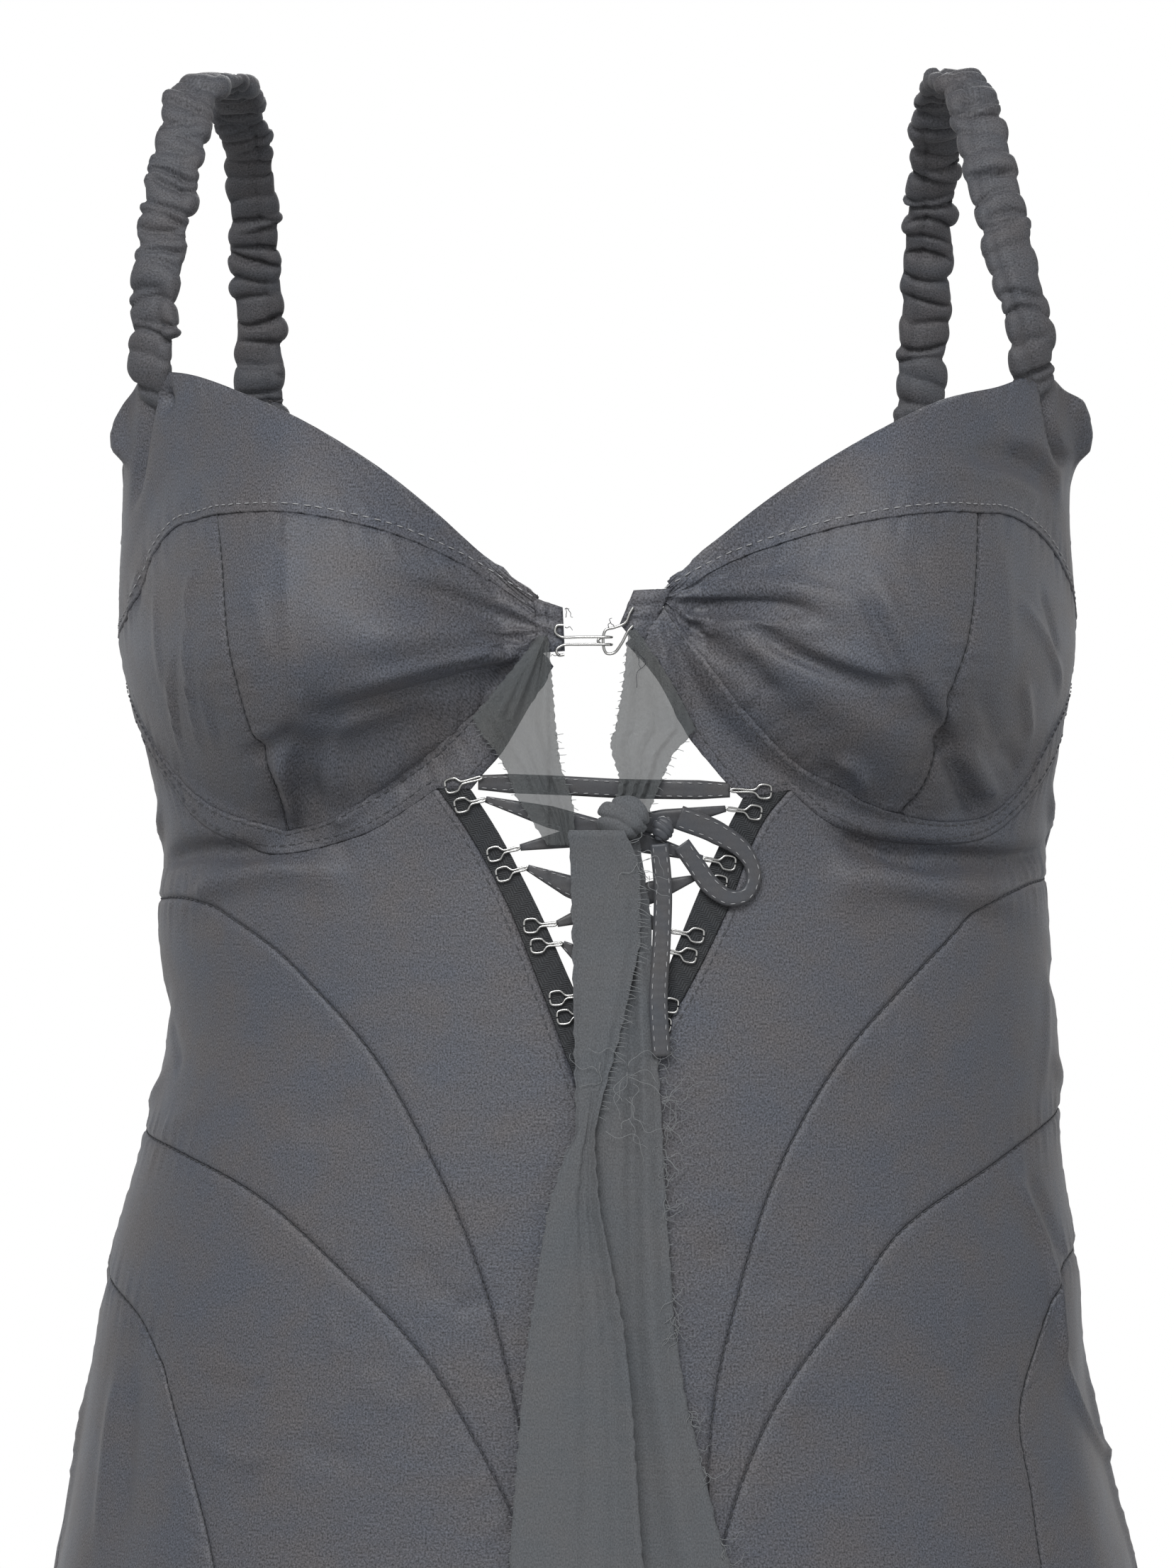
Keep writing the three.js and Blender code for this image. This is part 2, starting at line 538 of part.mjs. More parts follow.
// One half of the front: cup, wire casing, window tape and the four gores of body and skirt
function frontHalf(half) {
  const { hand, corner, inner } = half;
  const onSide = (z) => ({ turn: half.side, z });
  const [petalZ, underZ, hipZ] = half.goreZ;

  const edge = line([onSide(SIDE_Z.armhole), ...half.edge], 16);
  const seamSide = line([onSide(half.cupZ), ...half.cupSeamSide], 6);
  const seamFront = line([last(half.cupSeamSide), ...half.cupSeamFront], 10);
  const wireSide = line([onSide(SIDE_Z.wire), ...half.wireSide], 6);
  const wireFront = line([last(half.wireSide), ...half.wireFront], 10);
  const dart = line([last(half.cupSeamSide), ...half.dart, last(half.wireSide)], 8);
  add(`cup_top_${hand}`, panel({ top: edge, bottom: joined(seamSide, seamFront), across: 5 }), satin);
  add(`cup_outer_${hand}`, panel({ top: seamSide, bottom: wireSide, end: dart, across: 8 }), satin);
  add(`cup_inner_${hand}`, panel({ top: seamFront, bottom: wireFront, start: dart, across: 8 }), satin);

  const under = line([onSide(SIDE_Z.under), ...half.under, corner], 11);
  const free = joined(line([corner, inner], 1), line([inner, ...half.free], 4));
  const casing = { top: joined(wireSide, wireFront), bottom: joined(under, free), across: 2 };
  add(`wire_casing_${hand}`, panel(casing), satin);

  const window = line([corner, ...half.window, CENTRE.apex], 6);
  const tapeEdge = line([inner, ...half.tape, TAPE_APEX], 6);
  add(`tape_${hand}`, panel({ top: window, bottom: tapeEdge, across: 1 }), twill);

  const centre = joined(
    line([CENTRE.apex, [8, -420], CENTRE.petals], 5),
    line([CENTRE.petals, CENTRE.joint], 1),
    line([CENTRE.joint, [12, -700], CENTRE.end], 7),
  );
  const petalTop = line([onSide(petalZ), ...half.petalTop, half.petals], 22);
  const petalUnder = line([onSide(underZ), ...half.petalUnder, half.joint], 22);
  const petalEnd = line([half.petals, half.joint], 1);
  const joint = line([half.joint, ...half.jointEnd], 7);
  const gore = { top: joined(under, window, centre), bottom: joined(petalTop, petalEnd, joint) };
  add(`centre_gore_${hand}`, panel({ ...gore, across: 5 }), satin);
  add(`middle_gore_${hand}`, panel({ top: petalTop, bottom: petalUnder, across: 4 }), satin);

  const hipTop = line([onSide(hipZ), ...half.hipTop], 8);
  const hipFront = line([last(half.hipTop), ...half.hipFront], 14);
  const hipEnd = line([last(half.hipFront), ...half.hipEnd], 7);
  const lower = { top: joined(petalUnder, joint), bottom: joined(hipTop, hipFront, hipEnd) };
  add(`lower_gore_${hand}`, panel({ ...lower, across: 4 }), satin);
  const sideSeam = joined(
    line([onSide(hipZ), onSide(SIDE_Z.hip)], 14),
    line([onSide(SIDE_Z.hip), onSide(HEM_Z)], 7),
  );
  const hip = { top: sideSeam, bottom: joined(hipFront, hipEnd), start: hipTop, across: 8 };
  add(`hip_gore_${hand}`, panel(hip), satin);
}

// The back, in four panels cut low between the straps, with a seam down the middle
function backPanels() {
  const steps = 8;
  const names = ["back_side_right", "back_right", "back_left", "back_side_left"];
  const edge = line(BACK_EDGE, names.length * steps);
  const hem = line([{ turn: 90, z: HEM_Z }, { turn: 270, z: HEM_Z }], names.length * steps);
  names.forEach((name, i) => {
    const stations = [i * steps, (i + 1) * steps + 1];
    add(name, panel({ top: edge.slice(...stations), bottom: hem.slice(...stations), across: 12 }), satin);
  });
}

// A ruched strap: a ring at the crest of each gather and one in the dip after it. Its ends turn to
// lie along the cup and the back.
function strap(points, hand) {
  const middle = points.map((p) => new THREE.Vector3(...p));
  const curve = new THREE.CatmullRomCurve3(middle, false, "centripetal");
  const count = 2 * STRAP_FOLDS;
  const corners = [[1, 0], [0.6, 1], [-0.6, 1], [-1, 0], [-0.6, -1], [0.6, -1]];
  const rings = Array.from({ length: count + 1 }, (_, i) => {
    const s = i / count;
    const crest = i % 2 === 0 ? 1 : 0;
    const uneven = Math.sin(i * 2.4) * 0.6 + Math.sin(i * 1.1 + hand) * 0.4;
    const halfWidth = (STRAP_WIDTH / 2) * (0.9 + 0.12 * crest + 0.06 * uneven);
    const halfThickness = (STRAP_THICKNESS / 2) * (0.72 + 0.34 * crest + 0.1 * uneven);
    const along = curve.getTangentAt(s);
    const frontTwist = 38 * Math.max(0, 1 - s / 0.25);
    const backTwist = 30 * Math.max(0, 1 - (1 - s) / 0.25);
    const twist = radians(hand * (frontTwist - backTwist));
    const across = new THREE.Vector3(Math.cos(twist), Math.sin(twist), 0);
    across.addScaledVector(along, -across.dot(along)).normalize();
    const out = across.clone().cross(along);
    const sway = i < 2 || i > count - 2 ? 0 : 0.9 * uneven;
    const centre = curve.getPointAt(s).addScaledVector(across, sway);
    return corners.map(([a, b]) =>
      centre.clone().addScaledVector(across, a * halfWidth).addScaledVector(out, b * halfThickness),
    );
  });
  return throughRings(rings);
}

// A lacing hook: a sewing loop drawn out into an arm with a rounded tip
function lacingHook({ x, z, tipX, tipZ }) {
  const reach = Math.hypot(tipX - x, tipZ - z);
  const [ux, uz] = [(tipX - x) / reach, (tipZ - z) / reach];
  const half = [[-1.9, 0.6], [-0.9, 1.8], [0.9, 1.8], [EYE_NECK, 0.75], [reach - 0.9, 0.75]];
  const otherHalf = half.map(([along, side]) => [along, -side]).reverse();
  const outline = [...half, [reach, 0], ...otherHalf];
  const place = ([a, b]) => over(x + a * ux - b * uz, z + a * uz + b * ux, EYE_LIFT);
  return wire(outline.map(place), EYE_WIRE, 14, 4);
}

frontHalf(LEFT);
frontHalf(RIGHT);
backPanels();
add("strap_left", strap(STRAP_LEFT, -1), satin);
add("strap_right", strap(STRAP_RIGHT, 1), satin);

// Tabs at the middle of the bust, and the clasp on them
function tab(top, bottom) {
  return panel({ top: line(top, 2), bottom: line(bottom, 2), across: 3, lift: 0.9, thickness: 2.2 });
}
add("tab_left", tab([[-16.2, -179.5], [-9.5, -181]], [[-15.5, -195], [-8.8, -194.5]]), satin);
add("tab_right", tab([[13.5, -175.5], [23, -178]], [[9.2, -184.5], [12.3, -191.8]]), satin);
const laid = ([x, z, lift]) => over(x, z, lift);
add("clasp_hook", wire(CLASP_HOOK.map(laid), CLASP_WIRE, 56, 6), steel);
add("clasp_eye", wire(CLASP_EYE.map(laid), CLASP_WIRE, 28, 6), steel);
for (const hand of ["left", "right"])
  HOOKS[hand].forEach((hook, i) => add(`lacing_hook_${hand}_${i + 1}`, lacingHook(hook), steel));

// The lace runs straight across the top and bottom hooks and crosses between the other pairs.
// It is drawn in where it passes a hook.
const tip = (hand, i) => [HOOKS[hand][i].tipX, HOOKS[hand][i].tipZ];
const laces = [
  { name: "lace_top", from: tip("left", 0), to: tip("right", 0), lift: FRONT_LACE },
  ...[1, 3, 5].flatMap((i) => [
    { name: `lace_falling_${i}`, from: tip("left", i), to: tip("right", i + 1), lift: FRONT_LACE },
    { name: `lace_rising_${i}`, from: tip("left", i + 1), to: tip("right", i), lift: REAR_LACE },
  ]),
  { name: "lace_bottom", from: tip("left", 7), to: tip("right", 7), lift: FRONT_LACE },
];
const drawnIn = (s) => LACE_WIDTH * (s > 0 && s < 1 ? 1 : 0.4);
for (const { name, from, to, lift } of laces) {
  const rows = laceRows([from, to], [0, 0.12, 0.38, 0.62, 0.88, 1], lift, drawnIn);
  add(name, strip(rows, 1, RIBBON), ribbon);
}
add("lace_knot", lump(LACE_KNOT, 8, 6), ribbon);
add("lace_bow", strip(laceRows(BOW_LOOP, evenly(20), BOW_LIFT), 1, RIBBON), ribbon);
add("lace_end", strip(laceRows(LACE_END, evenly(6), LACE_END_LIFT), 1, RIBBON), ribbon);

// The chiffon scarf: two strips down from the tabs, a knot, and two tails
const scarfRows = (table, lift) =>
  table.map((row) => ({ left: [row.left, row.z], right: [row.right, row.z], lift: row.lift ?? lift }));
const scarfStrip = (table) => strip(scarfRows(table, SCARF_STRIP_LIFT), 4, CHIFFON);
const tailFold = (s, v) => TAIL_FOLD * s ** 0.3 * Math.sin(v * 2 * Math.PI) ** 2;
add("scarf_strip_left", scarfStrip(SCARF_STRIP_LEFT), chiffon);
add("scarf_strip_right", scarfStrip(SCARF_STRIP_RIGHT), chiffon);
add("scarf_knot", lump(SCARF_KNOT, 12, 8), chiffon);
add("scarf_tail_front", strip(scarfRows(FRONT_TAIL), 5, CHIFFON, tailFold), chiffon);
add("scarf_tail_back", strip(scarfRows(BACK_TAIL), 4, CHIFFON), chiffon);

export default dress;
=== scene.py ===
# A strappy dress of stretch satin, filled out as if worn, with nobody in it: ruched elastic straps,
# wired cups, a laced window under the bust, a chiffon scarf tied in it, and a gored skirt to the knee.
# Tables are in millimetres, and MM turns them into Blender's metres. +Z is up and the front faces -Y.
import math

import bmesh
import bpy
import numpy as np
from mathutils import Matrix, Vector


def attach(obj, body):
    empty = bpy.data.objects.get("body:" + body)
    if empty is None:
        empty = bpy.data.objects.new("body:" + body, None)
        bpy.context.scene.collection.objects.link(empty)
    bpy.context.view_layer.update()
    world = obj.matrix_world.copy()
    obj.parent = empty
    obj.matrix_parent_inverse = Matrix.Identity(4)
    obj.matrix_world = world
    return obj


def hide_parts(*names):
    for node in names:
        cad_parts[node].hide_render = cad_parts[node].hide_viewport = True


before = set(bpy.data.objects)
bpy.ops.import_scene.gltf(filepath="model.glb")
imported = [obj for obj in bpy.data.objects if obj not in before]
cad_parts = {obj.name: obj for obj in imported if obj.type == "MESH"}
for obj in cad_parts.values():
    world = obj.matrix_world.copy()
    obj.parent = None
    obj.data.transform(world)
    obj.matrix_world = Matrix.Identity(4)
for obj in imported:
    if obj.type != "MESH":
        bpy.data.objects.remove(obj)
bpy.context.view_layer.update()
MM = 0.001

# Camera: level with the cups and two metres in front of them, with a long lens, so that the picture
# ends at the hip as a close view of the bodice does.
CAMERA_AT = (-1.3, -1960, -238)
LENS = 131.5
camera = bpy.data.objects.new("camera", bpy.data.cameras.new("camera"))
bpy.context.scene.collection.objects.link(camera)
camera.location = Vector(CAMERA_AT) * MM
camera.rotation_euler = (math.radians(90), 0, 0)
camera.data.lens = LENS
camera.data.sensor_width = 36
bpy.context.scene.camera = camera

# Studio: a pale floor where the wearer's feet would be, white all round at eye height, and soft boxes
# above the front and at both sides. The light is softer below, so that folds have dark undersides.
FLOOR_Z = -1450
FLOOR_RADIUS = 6000
# The colour of the surroundings, from straight down (0) to straight up (1)
SURROUNDINGS = [
    (0, (0.2, 0.2, 0.21)), (0.36, (0.3, 0.3, 0.3)), (0.42, (1, 1, 1)),
    (0.57, (1, 1, 1)), (0.64, (0.45, 0.45, 0.45)), (1, (0.4, 0.4, 0.42)),
]
bpy.context.scene.view_settings.view_transform = "Standard"


def new_object(name, mesh):
    made = bpy.data.objects.new(name, mesh)
    bpy.context.scene.collection.objects.link(made)
    return made


def built(name, bm, material):
    """The object of a mesh that bmesh has made."""
    mesh = bpy.data.meshes.new(name)
    bm.to_mesh(mesh)
    bm.free()
    mesh.materials.append(material)
    return new_object(name, mesh)


def feed(tree, socket, value):
    """Links an output to the socket, or sets the socket's own value."""
    if isinstance(value, bpy.types.NodeSocket):
        tree.links.new(value, socket)
    else:
        socket.default_value = value


def set_up(tree, made, **settings):
    """Feeds a node's inputs and sets its properties. An input's name has _ for each space."""
    for name, value in settings.items():
        socket = name.replace("_", " ")
        if socket in made.inputs:
            feed(tree, made.inputs[socket], value)
        else:
            setattr(made, name, value)
    return made


def node(tree, kind, **settings):
    return set_up(tree, tree.nodes.new(kind), **settings)


def new_paint(name, **sockets):
    """A material, with values for its shader's own sockets."""
    paint = bpy.data.materials.new(name)
    paint.use_nodes = True
    set_up(paint.node_tree, paint.node_tree.nodes["Principled BSDF"], **sockets)
    return paint


disc = bmesh.new()
bmesh.ops.create_circle(disc, cap_ends=True, segments=128, radius=FLOOR_RADIUS * MM)
bmesh.ops.translate(disc, verts=disc.verts, vec=(0, 0, FLOOR_Z * MM))
built("floor", disc, new_paint("floor_paint", Base_Color=(0.7, 0.7, 0.69, 1), Roughness=0.8))

studio = bpy.data.worlds.new("studio")
bpy.context.scene.world = studio
studio.use_nodes = True
air = studio.node_tree
outlook = node(air, "ShaderNodeTexCoord")
parts = node(air, "ShaderNodeSeparateXYZ", Vector=outlook.outputs["Generated"])
spread = node(air, "ShaderNodeMapRange", Value=parts.outputs["Z"], From_Min=-1)
brightness = node(air, "ShaderNodeValToRGB", Fac=spread.outputs["Result"])
stops = brightness.color_ramp.elements
for position, colour in SURROUNDINGS[1:-1]:
    stops.new(position)
for stop, (position, colour) in zip(stops, SURROUNDINGS):
    stop.position = position
    stop.color = (*colour, 1)
set_up(air, air.nodes["Background"], Color=brightness.outputs["Color"], Strength=1)


def soft_box(name, at, aim, width, height, power):
    light = bpy.data.lights.new(name, "AREA")
    light.shape = "RECTANGLE"
    light.size, light.size_y = width, height
    light.energy = power
    lamp = new_object(name, light)
    lamp.location = at
    lamp.rotation_euler = (Vector(aim) - Vector(at)).to_track_quat("-Z", "Y").to_euler()


BUST = (0, -0.1, -0.25)
soft_box("key", (-0.4, -1.9, 1.3), BUST, 1.6, 1.0, 62)
soft_box("fill_right", (1.7, -1.5, 0.5), BUST, 1.0, 1.4, 4)
soft_box("back", (0.3, 2.1, 1.2), BUST, 1.6, 1.0, 30)

# Satin cups: each is a top band and an outer and an inner panel of one layer of stretch satin, turned
# in and stitched together. The worn dress's form, which every piece below lies on, is set out first.
HEM_Z = -1000
SATIN = 1.3
# How square the body's sections are (1 is an ellipse), and the cloth to a degree round the body
ROUNDNESS = 0.86
TURN_MM = 2.1
# From the top: z, half width to the left and to the right, depth to the front and to the back
SECTIONS = [
    (-60, 156, 160, 80, 80),
    (-100, 158, 164, 88, 88),
    (-118, 160, 167, 91, 91),
    (-140, 160, 163, 95, 95),
    (-190, 161, 165, 99, 98),
    (-217, 155, 161, 98, 97),
    (-256, 146, 155, 97, 92),
    (-285, 148, 156, 99, 88),
    (-324, 145, 159, 103, 86),
    (-362, 154, 160, 107, 90),
    (-401, 165, 166, 111, 98),
    (-440, 171, 168, 115, 106),
    (-480, 177, 177, 119, 114),
    (-505, 182, 184, 122, 120),
    (-600, 198, 199, 132, 132),
    (-750, 217, 218, 148, 146),
    (HEM_Z, 247, 248, 172, 170),
]
WIDTH_LEFT, WIDTH_RIGHT, DEPTH_FRONT, DEPTH_BACK = 1, 2, 3, 4
# Cups: x, z, height, reach inwards, outwards, up and down
CUP_POWER, CUP_CROWN, CUP_FOOT = 1.6, 2.4, 1.3
CUPS = [(-100, -195, 36, 72, 62, 98, 56), (103, -195, 36, 72, 62, 98, 56)]
# Gathers fan out from the tab at x, z on that hand: height, degrees between them, reach
GATHERS = [(-14, -188, -1, 1.4, 30, 36), (20, -177, 1, 1.4, 27, 36)]
# Large folds along a line: x0, z0, x1, z1, width, height
FOLDS = [
    (-90, -216, -97, -248, 8, -4),
    (60, -192, 115, -222, 7, -4),
    (117, -226, 128, -246, 7, -3),
    (-147, -262, -84, -258, 6, -3),
    (-145, -275, -90, -266, 7, 3),
    (88, -259, 152, -268, 6, -3),
    (86, -270, 152, -279, 7, 3),
    (158, -400, 168, -500, 8, 5),
    (-150, -425, -158, -500, 9, -4),
]
# Flutes of the skirt below FLUTES_TOP: waves round the body, shift in degrees, height at the hem
FLUTES_TOP, FLUTES_GROWTH = -470, 1.3
FLUTES = [(7, 20, 8), (11, 65, 5)]
# How fast the folds and gathers fade in from the side seams
SIDE_FADE = 4


def unit(vectors):
    return vectors / np.linalg.norm(vectors, axis=-1, keepdims=True)


def section_value(column, z):
    rows = np.array(SECTIONS, float)[::-1]
    levels, values = rows[:, 0], rows[:, column]
    slopes = np.empty_like(values)
    slopes[1:-1] = (values[2:] - values[:-2]) / (levels[2:] - levels[:-2])
    slopes[0] = (values[1] - values[0]) / (levels[1] - levels[0])
    slopes[-1] = (values[-1] - values[-2]) / (levels[-1] - levels[-2])
    i = np.clip(np.searchsorted(levels, z, side="right") - 1, 0, len(levels) - 2)
    span = levels[i + 1] - levels[i]
    u = np.clip((z - levels[i]) / span, 0, 1)
    rise = 3 * u**2 - 2 * u**3
    start_bend = (u**3 - 2 * u**2 + u) * span * slopes[i]
    end_bend = (u**3 - u**2) * span * slopes[i + 1]
    return values[i] * (1 - rise) + values[i + 1] * rise + start_bend + end_bend


def cup_height(x, z):
    height = np.zeros_like(x)
    for cup_x, cup_z, rise, inward, outward, up, down in CUPS:
        out = (x - cup_x) * np.sign(cup_x)
        across = out / np.where(out > 0, outward, inward)
        along = (z - cup_z) / np.where(z > cup_z, up, down)
        reach = (np.abs(across) ** CUP_POWER + np.abs(along) ** CUP_POWER) ** (1 / CUP_POWER)
        height += rise * (1 - np.minimum(reach, 1) ** CUP_CROWN) ** CUP_FOOT
    return height


def gather_height(x, z):
    height = np.zeros_like(x)
    for at_x, at_z, hand, rise, pitch, reach in GATHERS:
        out = (x - at_x) * hand
        far = np.hypot(out, z - at_z) / reach
        swell = far * np.exp((1 - far**2) / 2)
        wave = np.cos(np.arctan2(z - at_z, out) / math.radians(pitch) * 2 * math.pi)
        height += np.where(out > 0, rise * swell * wave, 0)
    return height


def fold_height(x, z):
    height = np.zeros_like(x)
    for x0, z0, x1, z1, width, rise in FOLDS:
        dx, dz = x1 - x0, z1 - z0
        near = np.clip(((x - x0) * dx + (z - z0) * dz) / (dx * dx + dz * dz), 0, 1)
        distance = np.hypot(x - x0 - near * dx, z - z0 - near * dz)
        height += rise * np.exp(-((distance / width) ** 2))
    return height


def flute_height(turn, z):
    drop = np.clip((FLUTES_TOP - z) / (FLUTES_TOP - HEM_Z), 0, 1) ** FLUTES_GROWTH
    waves = sum(height * np.cos(np.radians(count * turn + shift)) for count, shift, height in FLUTES)
    return drop * waves


def body_point(turn, z):
    """A point of the dress. turn is in degrees: 0 at the front centre, 90 at the right side."""
    turn, z = np.broadcast_arrays(np.asarray(turn, float), np.asarray(z, float))
    sine, cosine = np.sin(np.radians(turn)), np.cos(np.radians(turn))
    width = np.where(sine < 0, section_value(WIDTH_LEFT, z), section_value(WIDTH_RIGHT, z))
    depth = np.where(cosine > 0, section_value(DEPTH_FRONT, z), section_value(DEPTH_BACK, z))
    x = width * np.sign(sine) * np.abs(sine) ** ROUNDNESS
    y = -depth * np.sign(cosine) * np.abs(cosine) ** ROUNDNESS
    creases = (fold_height(x, z) + gather_height(x, z)) * np.clip(cosine * SIDE_FADE, 0, 1)
    relief = np.where(cosine > 0, cup_height(x, z) + creases, 0)
    flute = flute_height(turn, z)
    return np.stack([x + flute * sine, y - flute * cosine - relief, z], axis=-1)


def body_normal(turn, z):
    round_body = body_point(turn + 1, z) - body_point(turn - 1, z)
    down = body_point(turn, z - 1) - body_point(turn, z + 1)
    return unit(np.cross(down, round_body))


def turn_at(x, z):
    width = np.where(x < 0, section_value(WIDTH_LEFT, z), section_value(WIDTH_RIGHT, z))
    share = np.minimum(np.abs(x) / width, 1)
    return np.sign(x) * np.degrees(np.arcsin(share ** (1 / ROUNDNESS)))


def over(x, z, lift):
    """A point seen from the front at x and z, standing out from the dress by lift."""
    x, z, lift = np.broadcast_arrays(*(np.asarray(v, float) for v in (x, z, lift)))
    y = body_point(turn_at(x, z), z)[..., 1] - lift
    return np.stack([x, y, z], axis=-1)


def distances_along(points, axis=0):
    """How far each point of a line or grid lies from the first, along an axis."""
    steps = np.linalg.norm(np.diff(points, axis=axis), axis=-1)
    total = np.cumsum(steps, axis=axis)
    return np.concatenate([np.zeros_like(np.take(total, [0], axis=axis)), total], axis=axis)


def smooth_line(points, steps):
    """Equal steps along a centripetal curve through the points, in two or three dimensions."""
    p = np.array(points, float)
    p = np.vstack([2 * p[0] - p[1], p, 2 * p[-1] - p[-2]])
    fine = []
    for i in range(1, len(p) - 2):
        t = np.cumsum([0, *(np.linalg.norm(p[i + k] - p[i + k - 1]) ** 0.5 for k in (0, 1, 2))])
        u = np.linspace(t[1], t[2], 60)[:, None]
        a = [(t[k + 1] - u) / (t[k + 1] - t[k]) * p[i + k - 1] + (u - t[k]) / (t[k + 1] - t[k]) * p[i + k]
             for k in (0, 1, 2)]
        b = [(t[k + 2] - u) / (t[k + 2] - t[k]) * a[k] + (u - t[k]) / (t[k + 2] - t[k]) * a[k + 1]
             for k in (0, 1)]
        c = (t[2] - u) / (t[2] - t[1]) * b[0] + (u - t[1]) / (t[2] - t[1]) * b[1]
        fine.append(c if i == 1 else c[1:])
    fine = np.vstack(fine)
    length = distances_along(fine)
    wanted = np.linspace(0, length[-1], steps + 1)
    return np.stack([np.interp(wanted, length, fine[:, k]) for k in range(fine.shape[1])], axis=1)


# The first step of a panel's grid from its edge
EDGE_STEP = 0.6


def at_turn(degrees, z):
    return ("turn", degrees, z)


def flat_point(point):
    """Where a point lies on the cloth laid flat: mm round the body, and z."""
    if point[0] == "turn":
        return (point[1] * TURN_MM, point[2])
    return (float(turn_at(point[0], point[1])) * TURN_MM, point[1])


def line(points, steps):
    return smooth_line([flat_point(p) for p in points], steps)


def joined(*lines):
    return np.vstack([lines[0], *(stations[1:] for stations in lines[1:])])


def beside(stations, distance):
    """The line moved sideways over the flat cloth."""
    along = unit(np.gradient(stations, axis=0))
    return stations + distance * np.stack([-along[:, 1], along[:, 0]], axis=1)


def close_to_ends(count, length):
    """Shares from 0 to 1 in count steps, with narrow steps at both ends for a stitched edge."""
    edge = EDGE_STEP * np.array([0, 1, 2, 3.6]) / length
    middle = np.linspace(edge[-1], 1 - edge[-1], count - 5)
    return np.concatenate([edge[:3], middle, 1 - edge[2::-1]])


def resample(stations, shares):
    """Points at shares of a line that has a station at each equal step."""
    at = np.linspace(0, 1, len(stations))
    return np.stack([np.interp(shares, at, stations[:, k]) for k in range(2)], axis=1)


def flat_patch(top, bottom, start, end, along, across):
    """The flat points of a panel between four seam lines, at the shares along and across."""
    top, bottom = resample(top, along), resample(bottom, along)
    start = start if start is not None else np.linspace(top[0], bottom[0], 2)
    end = end if end is not None else np.linspace(top[-1], bottom[-1], 2)
    start, end = resample(start, across), resample(end, across)
    s, v = along[:, None, None], across[None, :, None]
    corners = (
        top[0] * (1 - s) * (1 - v) + bottom[0] * (1 - s) * v + top[-1] * s * (1 - v) + bottom[-1] * s * v
    )
    return top[:, None] * (1 - v) + bottom[:, None] * v + start[None] * (1 - s) + end[None] * s - corners


